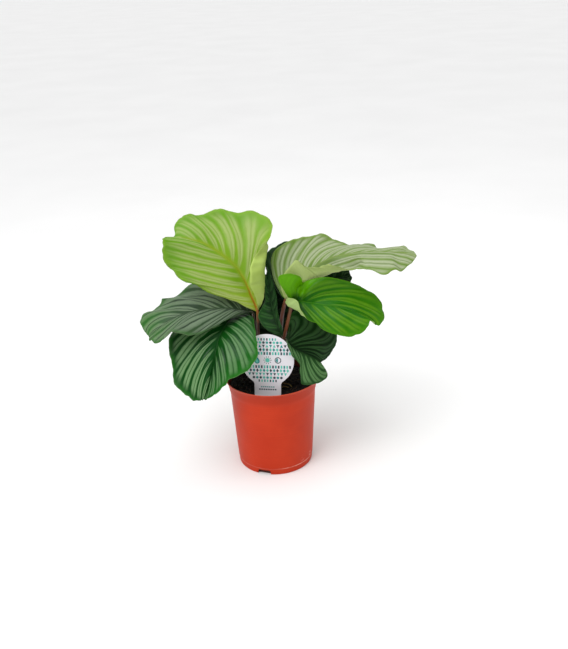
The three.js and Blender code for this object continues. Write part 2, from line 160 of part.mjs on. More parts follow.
    [[75.41,13.0,186.59],[63.96,2.3,182.92],[52.77,-8.63,179.18],[42.09,-20.0,175.3],[31.79,-31.7,171.32],[33.14,-36.17,168.19],[34.24,-39.63,164.21],[35.04,-41.87,159.22],[35.68,-43.5,153.71]],
    [[84.27,7.5,176.36],[72.22,-2.89,175.61],[60.07,-13.07,174.41],[47.72,-22.84,172.35],[35.22,-32.3,169.62],[36.33,-38.22,164.24],[36.66,-42.19,157.61],[36.25,-44.31,149.82],[35.47,-45.5,141.43]],
    [[85.9,-0.5,167.94],[75.33,-10.03,169.32],[64.3,-18.87,169.97],[52.42,-26.41,169.29],[39.9,-33.0,167.61],[40.81,-39.96,160.13],[40.41,-44.24,151.24],[38.9,-46.2,141.14],[36.83,-47.0,130.43]],
    [[81.47,-10.0,161.21],[73.5,-17.26,163.87],[65.04,-23.88,165.64],[55.66,-29.33,165.79],[45.68,-34.0,164.86],[47.2,-39.98,157.32],[48.04,-43.89,148.72],[48.24,-45.92,139.15],[48.13,-47.0,129.1]],
    [[74.82,-19.5,156.83],[68.76,-24.22,159.15],[62.97,-28.37,160.67],[57.45,-31.97,161.42],[52.2,-35.0,161.37],[54.81,-39.39,154.64],[57.25,-42.35,147.34],[59.49,-43.61,139.37],[61.63,-44.0,131.06]],
    [[68.32,-28.5,154.72],[65.67,-30.76,155.89],[63.12,-32.77,156.69],[60.67,-34.51,157.13],[58.33,-36.0,157.2],[61.0,-37.6,153.54],[63.84,-38.75,149.24],[66.86,-39.45,144.31],[70.06,-39.7,138.73]],
    [[61.42,-36.39,154.88],[61.56,-36.49,154.74],[61.71,-36.59,154.6],[61.85,-36.7,154.46],[61.99,-36.8,154.32],[62.13,-36.9,154.18],[62.27,-37.01,154.04],[62.41,-37.11,153.9],[62.56,-37.21,153.75]],
  ],
  leaf_7: [
    [[13.24,-10.87,179.74],[13.55,-10.78,179.81],[13.85,-10.69,179.88],[14.15,-10.59,179.96],[14.46,-10.5,180.03],[14.76,-10.41,180.1],[15.06,-10.31,180.17],[15.36,-10.22,180.25],[15.67,-10.13,180.32]],
    [[4.08,-15.0,187.18],[6.58,-14.01,186.92],[8.88,-12.77,186.82],[10.97,-11.26,186.86],[12.85,-9.5,187.06],[13.73,-9.03,187.17],[14.53,-8.45,187.35],[15.25,-7.78,187.59],[15.89,-7.0,187.88]],
    [[-4.45,-20.0,196.19],[-0.24,-17.48,195.68],[3.51,-14.47,195.34],[6.82,-10.98,195.16],[9.68,-7.0,195.15],[10.9,-5.99,195.17],[11.97,-4.82,195.24],[12.89,-3.49,195.37],[13.66,-2.0,195.55]],
    [[-11.46,-22.0,207.52],[-5.91,-18.08,206.1],[-0.99,-13.44,204.84],[3.29,-8.08,203.75],[6.94,-2.0,202.83],[8.38,-0.8,203.11],[9.64,0.6,203.43],[10.72,2.2,203.8],[11.62,4.0,204.21]],
    [[-14.17,-20.0,215.62],[-8.53,-15.19,214.21],[-3.58,-9.59,213.06],[0.68,-3.19,212.15],[4.26,4.0,211.5],[6.21,5.15,211.73],[7.96,6.53,212.02],[9.51,8.15,212.4],[10.85,10.0,212.84]],
    [[-9.43,-10.0,221.39],[-5.75,-6.12,220.79],[-2.54,-1.65,220.45],[0.2,3.38,220.38],[2.46,9.0,220.57],[4.86,10.1,220.89],[7.04,11.46,221.33],[9.0,13.1,221.89],[10.74,15.0,222.57]],
    [[-4.92,1.0,226.21],[-2.97,3.46,226.7],[-1.29,6.29,227.38],[0.12,9.46,228.26],[1.26,13.0,229.34],[3.51,14.22,229.76],[5.56,15.71,230.32],[7.41,17.47,231.04],[9.05,19.5,231.9]],
    [[-3.89,9.0,235.25],[-2.47,10.62,235.88],[-1.23,12.49,236.67],[-0.17,14.62,237.63],[0.72,17.0,238.76],[2.51,17.82,239.07],[4.16,18.84,239.52],[5.67,20.07,240.11],[7.04,21.5,240.83]],
    [[-3.35,14.0,245.53],[-2.24,15.12,245.94],[-1.24,16.4,246.5],[-0.36,17.87,247.19],[0.41,19.5,248.04],[1.66,19.8,248.48],[2.82,20.23,249.03],[3.9,20.8,249.69],[4.89,21.5,250.47]],
    [[-1.85,18.0,254.79],[-1.21,18.49,255.08],[-0.61,19.07,255.46],[-0.07,19.74,255.92],[0.43,20.5,256.47],[1.15,20.63,256.81],[1.83,20.84,257.22],[2.47,21.13,257.71],[3.07,21.5,258.27]],
    [[-0.06,20.6,261.31],[0.12,20.7,261.4],[0.31,20.8,261.49],[0.49,20.9,261.58],[0.67,21.0,261.67],[0.85,21.1,261.76],[1.03,21.2,261.85],[1.21,21.3,261.94],[1.39,21.4,262.03]],
  ],
  leaf_8: [
    [[20.62,24.45,214.25],[20.87,24.34,214.08],[21.12,24.22,213.91],[21.37,24.11,213.73],[21.63,24.0,213.56],[21.88,23.89,213.39],[22.13,23.78,213.22],[22.38,23.66,213.05],[22.64,23.55,212.88]],
    [[7.81,38.0,231.78],[11.34,33.57,227.81],[15.06,30.1,223.88],[18.98,27.57,220.0],[23.09,26.0,216.18],[24.67,25.36,213.96],[26.34,25.15,211.76],[28.09,25.36,209.58],[29.93,26.0,207.43]],
    [[-1.73,54.0,251.38],[4.18,44.73,243.5],[10.65,37.3,235.48],[17.66,31.73,227.33],[25.21,28.0,219.04],[28.69,27.57,215.58],[32.41,27.92,212.06],[36.35,29.07,208.49],[40.53,31.0,204.85]],
    [[0.74,66.0,267.19],[6.69,53.83,256.81],[13.44,43.95,245.75],[20.98,36.33,234.0],[29.32,31.0,221.56],[34.56,29.98,217.84],[40.16,29.97,213.81],[46.12,30.98,209.48],[52.43,33.0,204.85]],
    [[14.41,73.0,275.26],[18.29,60.08,263.59],[23.2,49.44,251.01],[29.12,41.08,237.53],[36.06,35.0,223.15],[42.38,32.86,219.78],[49.19,31.82,215.97],[56.49,31.86,211.73],[64.28,33.0,207.07]],
    [[30.57,77.0,279.96],[32.19,64.33,267.51],[35.21,53.77,254.26],[39.64,45.33,240.19],[45.47,39.0,225.33],[52.06,35.66,222.55],[59.36,33.38,219.37],[67.37,32.16,215.79],[76.07,32.0,211.8]],
    [[47.83,78.0,280.33],[47.57,66.02,268.46],[48.86,55.86,255.81],[51.72,47.52,242.4],[56.13,41.0,228.22],[62.51,37.08,226.26],[69.7,34.1,223.9],[77.71,32.08,221.13],[86.53,31.0,217.97]],
    [[64.94,77.0,278.45],[63.48,66.2,267.76],[63.52,56.93,256.3],[65.07,49.2,244.06],[68.11,43.0,231.06],[73.83,38.79,230.03],[80.33,35.38,228.59],[87.63,32.79,226.74],[95.72,31.0,224.48]],
    [[81.66,72.0,273.04],[79.17,63.34,264.17],[78.06,55.79,254.69],[78.35,49.34,244.58],[80.03,44.0,233.86],[84.5,40.11,233.22],[89.71,36.82,232.25],[95.67,34.11,230.96],[102.37,32.0,229.33]],
    [[95.25,63.0,262.91],[92.79,57.08,257.0],[91.39,51.77,250.68],[91.05,47.08,243.96],[91.77,43.0,236.85],[94.75,40.25,236.43],[98.3,37.83,235.8],[102.44,35.75,234.95],[107.16,34.0,233.88]],
    [[104.69,53.0,252.04],[102.77,49.7,249.25],[101.47,46.6,246.23],[100.8,43.7,242.98],[100.76,41.0,239.5],[102.46,39.32,239.56],[104.55,37.76,239.48],[107.03,36.32,239.26],[109.89,35.0,238.9]],
    [[107.47,38.81,242.41],[107.51,38.61,242.32],[107.55,38.41,242.23],[107.59,38.2,242.14],[107.63,38.0,242.06],[107.67,37.8,241.97],[107.72,37.59,241.88],[107.76,37.39,241.79],[107.8,37.19,241.7]],
  ],
  leaf_9: [
    [[4.15,29.0,147.59],[4.47,29.0,147.65],[4.79,29.0,147.7],[5.11,29.0,147.75],[5.43,29.0,147.81],[5.75,29.0,147.86],[6.07,29.0,147.91],[6.39,29.0,147.97],[6.71,29.0,148.02]],
    [[-9.05,34.0,149.93],[-5.39,32.42,150.44],[-1.72,31.32,151.12],[1.97,30.67,151.96],[5.68,30.5,152.96],[9.65,30.62,151.9],[13.64,31.24,151.02],[17.65,32.37,150.31],[21.67,34.0,149.78]],
    [[-21.4,39.0,156.38],[-14.56,36.21,156.65],[-7.72,34.28,157.2],[-0.87,33.21,158.02],[5.99,33.0,159.12],[13.52,33.32,157.66],[21.06,34.59,156.51],[28.6,36.82,155.65],[36.16,40.0,155.1]],
    [[-29.62,44.0,165.56],[-20.62,40.32,165.4],[-11.62,37.76,165.63],[-2.61,36.32,166.23],[6.4,36.0,167.23],[15.99,36.69,165.73],[25.58,38.59,164.65],[35.18,41.69,163.98],[44.78,46.0,163.73]],
    [[-32.61,49.0,177.41],[-22.74,44.79,176.71],[-12.87,41.81,176.45],[-2.99,40.04,176.64],[6.9,39.5,177.28],[17.35,40.42,176.06],[27.81,42.64,175.32],[38.27,46.17,175.05],[48.74,51.0,175.26]],
    [[-33.02,53.5,190.06],[-22.93,48.99,188.85],[-12.82,45.74,188.1],[-2.7,43.74,187.83],[7.43,43.0,188.04],[18.05,44.01,187.3],[28.68,46.35,187.06],[39.33,50.01,187.32],[49.99,55.0,188.08]],
    [[-31.72,57.5,202.08],[-21.83,52.89,200.57],[-11.92,49.51,199.52],[-1.99,47.39,198.92],[7.96,46.5,198.77],[18.07,47.59,198.5],[28.2,49.95,198.7],[38.34,53.59,199.36],[48.51,58.5,200.48]],
    [[-28.45,61.0,213.45],[-19.26,56.49,211.68],[-10.04,53.15,210.31],[-0.8,50.99,209.34],[8.46,50.0,208.77],[17.56,51.13,208.91],[26.67,53.42,209.45],[35.81,56.88,210.38],[44.97,61.5,211.7]],
    [[-22.59,64.0,223.42],[-14.74,59.83,221.6],[-6.87,56.69,220.1],[1.02,54.58,218.91],[8.93,53.5,218.05],[16.52,54.75,218.64],[24.14,57.0,219.54],[31.77,60.25,220.75],[39.43,64.5,222.27]],
    [[-14.19,66.5,231.31],[-8.34,62.92,229.84],[-2.46,60.14,228.57],[3.44,58.17,227.49],[9.37,57.0,226.61],[14.76,58.26,227.23],[20.18,60.26,228.04],[25.63,63.01,229.02],[31.09,66.5,230.19]],
    [[-4.6,68.0,236.66],[-0.98,65.33,235.65],[2.65,63.18,234.71],[6.31,61.58,233.84],[9.98,60.5,233.04],[13.29,61.64,233.58],[16.62,63.26,234.17],[19.97,65.39,234.83],[23.34,68.0,235.56]],
    [[3.93,69.0,239.27],[5.56,67.35,238.98],[7.21,65.96,238.69],[8.87,64.85,238.39],[10.54,64.0,238.08],[12.1,64.86,238.26],[13.66,65.98,238.44],[15.24,67.36,238.61],[16.83,69.0,238.77]],
    [[10.13,67.5,241.34],[10.36,67.5,241.33],[10.58,67.5,241.32],[10.81,67.5,241.31],[11.03,67.5,241.3],[11.25,67.5,241.28],[11.48,67.5,241.27],[11.7,67.5,241.26],[11.93,67.5,241.25]],
  ],
};

// Petioles, from the blade down into the soil.
const PETIOLE_LINES = {
  petiole_1: {"pts":[[-14.7,-3.2,212.8],[-14.9,-2.0,201.9],[-15.3,0.0,184.3],[-13.8,2.0,154.9],[-11.5,4.5,116.0],[-11.5,5.0,99.0]],"top":1.9,"foot":3.0},
  petiole_2: {"pts":[[-20.9,2.6,209.9],[-20.3,5.5,203.1],[-18.8,8.5,190.6],[-17.1,11.0,165.3],[-13.0,15.0,116.0],[-12.5,15.0,99.0]],"top":1.7,"foot":2.6},
  petiole_3: {"pts":[[-41.1,8.4,205.9],[-37.1,11.0,203.4],[-31.6,11.5,198.4],[-26.9,8.0,189.8],[-23.0,4.0,177.3],[-20.0,-1.0,116.0],[-20.0,-1.0,99.0]],"top":1.7,"foot":2.6},
  petiole_4: {"pts":[[21.2,6.0,222.9],[19.4,6.0,216.8],[16.2,7.0,203.4],[13.9,8.5,187.5],[12.0,11.0,159.4],[5.5,13.0,116.0],[5.5,13.0,99.0]],"top":2.5,"foot":3.6},
  petiole_5: {"pts":[[28.2,-26.2,230.1],[27.0,-24.5,225.5],[23.9,-18.0,209.4],[21.0,-12.5,194.9],[18.2,-6.5,181.3],[15.6,-1.0,167.6],[13.6,2.0,154.9],[9.0,2.5,116.0],[9.0,2.5,99.0]],"top":2.2,"foot":3.2},
  petiole_6: {"pts":[[19.2,-21.2,181.7],[18.0,-17.8,175.9],[16.5,-14.5,163.9],[11.0,-13.0,116.0],[11.0,-13.0,99.0]],"top":1.5,"foot":2.3},
  petiole_7: {"pts":[[14.1,-10.6,178.6],[12.3,-10.0,167.7],[-1.0,-6.0,116.0],[-1.0,-6.0,99.0]],"top":1.4,"foot":2.2},
  petiole_8: {"pts":[[21.3,23.8,211.8],[18.6,22.0,202.6],[13.7,21.0,169.2],[5.0,24.5,116.0],[5.0,24.5,99.0]],"top":1.8,"foot":2.6},
  petiole_9: {"pts":[[5.3,29.0,145.9],[3.7,29.5,138.1],[-7.0,29.5,118.0],[-7.0,29.5,99.0]],"top":1.7,"foot":2.5},
};


const wasm = await Module();
wasm.setup();

function toManifold(geometry) {
  let g = geometry.clone();
  g.deleteAttribute("normal");
  g.deleteAttribute("uv");
  g = mergeVertices(g, 1e-4);
  const pos = g.attributes.position.array;
  const idx = g.index.array;
  return new wasm.Manifold(new wasm.Mesh({ numProp: 3, vertProperties: new Float32Array(pos), triVerts: new Uint32Array(idx) }));
}

function fromManifold(m) {
  const out = m.getMesh();
  const g = new THREE.BufferGeometry();
  const v = out.vertProperties;
  const n = out.numProp;
  const pos = new Float32Array((v.length / n) * 3);
  for (let i = 0; i < v.length / n; i++) {
    pos[3 * i] = v[n * i];
    pos[3 * i + 1] = v[n * i + 1];
    pos[3 * i + 2] = v[n * i + 2];
  }
  g.setAttribute("position", new THREE.BufferAttribute(pos, 3));
  g.setIndex(Array.from(out.triVerts));
  g.computeVertexNormals();
  return g;
}

function lathe(profile, segments) {
  const g = new THREE.LatheGeometry(profile.map(([r, z]) => new THREE.Vector2(r, z)), segments);
  g.rotateX(Math.PI / 2);
  return g;
}

function fromVectors(points, faces) {
  const g = new THREE.BufferGeometry();
  g.setAttribute("position", new THREE.BufferAttribute(new Float32Array(points.flatMap((p) => [p.x, p.y, p.z])), 3));
  g.setIndex(faces.flat());
  g.computeVertexNormals();
  return g;
}

// Catmull-Rom through rows of points; t runs over the row numbers.
function spline(rows, t) {
  const n = rows.length;
  const i = Math.min(Math.floor(t), n - 2);
  const f = t - i;
  const at = (k) => {
    if (k < 0) return rows[0].clone().multiplyScalar(2).sub(rows[1]);
    if (k > n - 1) return rows[n - 1].clone().multiplyScalar(2).sub(rows[n - 2]);
    return rows[k];
  };
  const [a, b, c, d] = [at(i - 1), at(i), at(i + 1), at(i + 2)];
  const w = [-f + 2 * f * f - f * f * f, 2 - 5 * f * f + 3 * f * f * f, f + 4 * f * f - 3 * f * f * f, -f * f + f * f * f];
  return new THREE.Vector3()
    .addScaledVector(a, w[0] / 2).addScaledVector(b, w[1] / 2)
    .addScaledVector(c, w[2] / 2).addScaledVector(d, w[3] / 2);
}

// A closed blade of even thickness over the net.
function blade(net, steps) {
  const rows = net.map((row) => row.map((p) => new THREE.Vector3(...p)));
  const w = rows[0].length;
  const grid = [];
  for (let i = 0; i <= steps; i++) {
    const t = ((rows.length - 1) * i) / steps;
    grid.push(Array.from({ length: w }, (_, j) => spline(rows.map((r) => r[j]), t)));
  }
  const n = grid.length;
  const top = [];
  const under = [];
  for (let i = 0; i < n; i++) {
    for (let j = 0; j < w; j++) {
      const du = grid[Math.min(i + 1, n - 1)][j].clone().sub(grid[Math.max(i - 1, 0)][j]);
      const dv = grid[i][Math.min(j + 1, w - 1)].clone().sub(grid[i][Math.max(j - 1, 0)]);
      const nn = dv.cross(du).normalize().multiplyScalar(BLADE_T / 2);
      top.push(grid[i][j].clone().add(nn));
      under.push(grid[i][j].clone().sub(nn));
    }
  }
  const id = (i, j, side) => side * n * w + i * w + j;
  const faces = [];
  for (let i = 0; i < n - 1; i++) {
    for (let j = 0; j < w - 1; j++) {
      const [a, b, c, d] = [id(i, j, 0), id(i, j + 1, 0), id(i + 1, j + 1, 0), id(i + 1, j, 0)];
      faces.push([a, b, c], [a, c, d]);
      const [e, f, g, h] = [id(i, j, 1), id(i, j + 1, 1), id(i + 1, j + 1, 1), id(i + 1, j, 1)];
      faces.push([e, g, f], [e, h, g]);
    }
  }
  const ring = [];
  for (let j = 0; j < w; j++) ring.push([0, j]);
  for (let i = 1; i < n; i++) ring.push([i, w - 1]);
  for (let j = w - 2; j >= 0; j--) ring.push([n - 1, j]);
  for (let i = n - 2; i >= 1; i--) ring.push([i, 0]);
  for (let k = 0; k < ring.length; k++) {
    const [p, q] = [ring[k], ring[(k + 1) % ring.length]];
    const [a, b, c, d] = [id(...p, 0), id(...q, 0), id(...q, 1), id(...p, 1)];
    faces.push([a, c, b], [a, d, c]);
  }
  return fromVectors([...top, ...under], faces);
}

// A closed round rod of changing radius along a smooth line.
function rod(points, rStart, rEnd, sides, count, extra = 0, stretch = 0) {
  const curve = new THREE.CatmullRomCurve3(points.map((p) => new THREE.Vector3(...p)), false, "centripetal");
  const pts = curve.getSpacedPoints(count);
  if (stretch) pts[count].addScaledVector(pts[count].clone().sub(pts[count - 1]).normalize(), stretch);
  const tan = pts.map((p, i) => pts[Math.min(i + 1, count)].clone().sub(pts[Math.max(i - 1, 0)]).normalize());
  let normal = new THREE.Vector3(0, 1, 0).cross(tan[0]).normalize();
  const verts = [];
  pts.forEach((p, i) => {
    normal = normal.sub(tan[i].clone().multiplyScalar(normal.dot(tan[i]))).normalize();
    const other = tan[i].clone().cross(normal);
    const r = rStart + ((rEnd - rStart) * i) / count + extra;
    for (let k = 0; k < sides; k++) {
      const a = (2 * Math.PI * k) / sides;
      verts.push(p.clone().addScaledVector(normal, r * Math.cos(a)).addScaledVector(other, r * Math.sin(a)));
    }
  });
  const faces = [];
  for (let i = 0; i < count; i++) {
    for (let k = 0; k < sides; k++) {
      const [a, b] = [i * sides + k, i * sides + ((k + 1) % sides)];
      faces.push([a, b, b + sides], [a, b + sides, a + sides]);
    }
  }
  const first = verts.push(pts[0].clone()) - 1;
  const last = verts.push(pts[count].clone()) - 1;
  for (let k = 0; k < sides; k++) {
    const m = (k + 1) % sides;
    faces.push([first, m, k], [last, count * sides + k, count * sides + m]);
  }
  return fromVectors(verts, faces);
}

function box(w, d, h) {
  return new THREE.BoxGeometry(w, d, h);
}

// ---- pot ----
function innerRadius(z) {
  for (let i = 1; i < POT_OUTSIDE.length; i++) {
    const [r0, z0] = POT_OUTSIDE[i - 1];
    const [r1, z1] = POT_OUTSIDE[i];
    if (z <= z1 && z1 > z0) return r0 + ((r1 - r0) * (z - z0)) / (z1 - z0) - POT_WALL;
  }
  return POT_RIM_R - POT_WALL;
}
const floorTop = POT_FLOOR_Z + POT_FLOOR_T;
const potProfile = [
  [0, POT_FLOOR_Z], [POT_FOOT_R - 6.5, POT_FLOOR_Z], [POT_FOOT_R - 5.5, 0.2], [POT_FOOT_R - 4.8, 0],
  ...POT_OUTSIDE,
  [60.7, 123.7], [58.9, 119.6], [innerRadius(112), 112], [innerRadius(101), 101],
  [innerRadius(9.0), 9.0], [POT_FOOT_R - 3.4, floorTop + 1.6], [POT_FOOT_R - 6, floorTop], [0, floorTop],
];
let pot = toManifold(lathe(potProfile, POT_SEGMENTS));
for (let i = 0; i < NOTCH_COUNT; i++) {
  const a = THREE.MathUtils.degToRad(NOTCH_FIRST_DEG + (360 * i) / NOTCH_COUNT);
  const shape = new THREE.Shape();
  const w = NOTCH_W / 2;
  shape.moveTo(-w - 0.6, -1);
  shape.lineTo(w + 0.6, -1);
  shape.lineTo(w - 0.4, NOTCH_H - 2.2);
  shape.lineTo(w - 2.4, NOTCH_H);
  shape.lineTo(-w + 2.4, NOTCH_H);
  shape.lineTo(-w + 0.4, NOTCH_H - 2.2);
  shape.closePath();
  const cut = new THREE.ExtrudeGeometry(shape, { depth: 9.5, bevelEnabled: false });
  cut.rotateX(Math.PI / 2);
  cut.rotateZ(Math.PI / 2);
  cut.translate(POT_FOOT_R - 4, 0, 0);
  cut.rotateZ(a);
  pot = pot.subtract(toManifold(cut));
}
for (let i = 0; i < DRAIN_COUNT; i++) {
  const a = (2 * Math.PI * (i + 0.5)) / DRAIN_COUNT;
  const hole = new THREE.CylinderGeometry(DRAIN_R, DRAIN_R, 8, 12);
  hole.rotateX(Math.PI / 2);
  hole.translate(DRAIN_RING_R * Math.cos(a), DRAIN_RING_R * Math.sin(a), floorTop - 1);
  pot = pot.subtract(toManifold(hole));
}

// ---- petioles ----
const petioles = {};
const sockets = [];
for (const [name, line] of Object.entries(PETIOLE_LINES)) {
  petioles[name] = rod(line.pts, line.top, line.foot, PETIOLE_SIDES, 12);
  sockets.push(rod(line.pts, line.top, line.foot, PETIOLE_SIDES, 12, FIT_GAP, FIT_GAP));
}

// ---- plant tag ----
function tagShape(grow) {
  const shape = new THREE.Shape();
  const w = TAG_STEM_W / 2 + grow;
  const r = TAG_DISC_R + grow;
  const a0 = -Math.PI / 2 + Math.asin(w / r);
  shape.moveTo(-w + 14, -TAG_DEPTH - grow);
  shape.lineTo(w - 14, -TAG_DEPTH - grow);
  shape.lineTo(w - 4.5, -7);
  shape.lineTo(w, 0);
  const steps = 40;
  for (let i = 0; i <= steps; i++) {
    const a = a0 + ((2 * Math.PI - 2 * Math.asin(w / r)) * i) / steps;
    shape.lineTo(r * Math.cos(a), TAG_DISC_H + r * Math.sin(a));
  }
  shape.lineTo(-w, 0);
  shape.lineTo(-w + 4.5, -7);
  shape.closePath();
  return shape;
}
function placeTag(g) {
  const az = THREE.MathUtils.degToRad(TAG_AZIMUTH_DEG);
  const lean = THREE.MathUtils.degToRad(TAG_LEAN_DEG);
  const out = new THREE.Vector3(Math.sin(az), -Math.cos(az), 0);
  const side = new THREE.Vector3(Math.cos(az), Math.sin(az), 0);
  const up = new THREE.Vector3(0, 0, Math.cos(lean)).addScaledVector(out, -Math.sin(lean));
  const normal = side.clone().cross(up);
  const m = new THREE.Matrix4().makeBasis(side, up, normal);
  m.setPosition(out.multiplyScalar(TAG_RADIUS).add(new THREE.Vector3(0, 0, SOIL_TOP_Z - 0.5)));
  g.applyMatrix4(m);
  return g;
}
function tag(thickness, grow) {
  const g = new THREE.ExtrudeGeometry(tagShape(grow), { depth: thickness, bevelEnabled: false });
  g.translate(0, 0, -thickness / 2);
  return placeTag(g);
}

// ---- soil ----
const soilProfile = [
  [0, floorTop + SOIL_GAP], [POT_FOOT_R - 6.4, floorTop + SOIL_GAP], [POT_FOOT_R - 3.9, floorTop + 1.9],
  [innerRadius(9.4) - SOIL_GAP, 9.6],
  [innerRadius(101) - SOIL_GAP, 101],
  [innerRadius(109) - SOIL_GAP, 109.4], [50, SOIL_TOP_Z - 1.2], [40, SOIL_TOP_Z], [24, SOIL_TOP_Z + 0.8], [0, SOIL_TOP_Z + 1.6],
];
let soil = toManifold(lathe(soilProfile, POT_SEGMENTS));
for (const s of sockets) soil = soil.subtract(toManifold(s));
soil = soil.subtract(toManifold(tag(TAG_T + 2 * FIT_GAP, FIT_GAP)));

// ---- materials and assembly ----
const paint = (color, roughness) => new THREE.MeshStandardMaterial({ color, roughness, metalness: 0 });
const group = new THREE.Group();
function add(name, geometry, material) {
  const mesh = new THREE.Mesh(geometry, material);
  mesh.name = name;
  group.add(mesh);
}
add("pot", fromManifold(pot), paint(0xc0401f, 0.45));
add("soil", fromManifold(soil), paint(0x1a1512, 1));
add("plant_tag", tag(TAG_T, 0), paint(0xf2f2f0, 0.4));
const BLADE_COLOURS = {
  leaf_1: 0x9dc13e, leaf_2: 0x5d7d5c, leaf_3: 0x2f7a38, leaf_4: 0x9cb96e, leaf_5: 0x4c9a1e,
  leaf_6: 0x26482b, leaf_7: 0x2a5a30, leaf_8: 0x24502a, leaf_9: 0x1f4426,
};
for (const [name, net] of Object.entries(BLADE_NETS)) add(name, blade(net, BLADE_STEPS[name]), paint(BLADE_COLOURS[name], 0.4));
for (const [name, geometry] of Object.entries(petioles)) add(name, geometry, paint(0x7d4a33, 0.55));

export default group;
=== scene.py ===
import math

import bpy
import numpy as np
from mathutils import Matrix, Vector, noise


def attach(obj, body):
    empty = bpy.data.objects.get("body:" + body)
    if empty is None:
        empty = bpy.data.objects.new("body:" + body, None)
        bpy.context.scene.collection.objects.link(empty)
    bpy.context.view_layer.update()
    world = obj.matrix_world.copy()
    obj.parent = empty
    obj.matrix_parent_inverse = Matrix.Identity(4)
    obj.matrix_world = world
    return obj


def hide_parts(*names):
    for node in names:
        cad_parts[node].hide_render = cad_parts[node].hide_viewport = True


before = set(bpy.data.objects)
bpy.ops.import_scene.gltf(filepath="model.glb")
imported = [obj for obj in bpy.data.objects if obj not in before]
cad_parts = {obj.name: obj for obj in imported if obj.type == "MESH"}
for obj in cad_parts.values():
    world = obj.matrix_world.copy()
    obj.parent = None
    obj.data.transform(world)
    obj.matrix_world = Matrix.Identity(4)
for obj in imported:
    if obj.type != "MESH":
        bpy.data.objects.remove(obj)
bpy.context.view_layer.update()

MM = 0.001

# ------------------------------------------------------------------ dimensions (millimetres)
POT_RIM_R = 62.2
POT_H = 123.9
FOOT_R = 49.1
WALL = 1.3
FLOOR_Z = 1.8
FLOOR_T = 1.8
NOTCH_FIRST = -109.5
SOIL_Z = 112.5
SOIL_R = 55.6
TAG_AZ = math.radians(-10.0)
TAG_LEAN = math.radians(10.0)
TAG_RADIUS = 38.5
TAG_DISC_R = 34.0
TAG_DISC_H = 47.0
TAG_STEM_W = 34.0
TAG_DEPTH = 14.0
TAG_T = 0.55
# light: strength of the surroundings, of the soft sun and of the three panels
WORLD_BACK, WORLD_FRONT, SUN, KEY, TOP, FILL = 0.62, 0.16, 1.64, 7.2, 3.9, 1.8

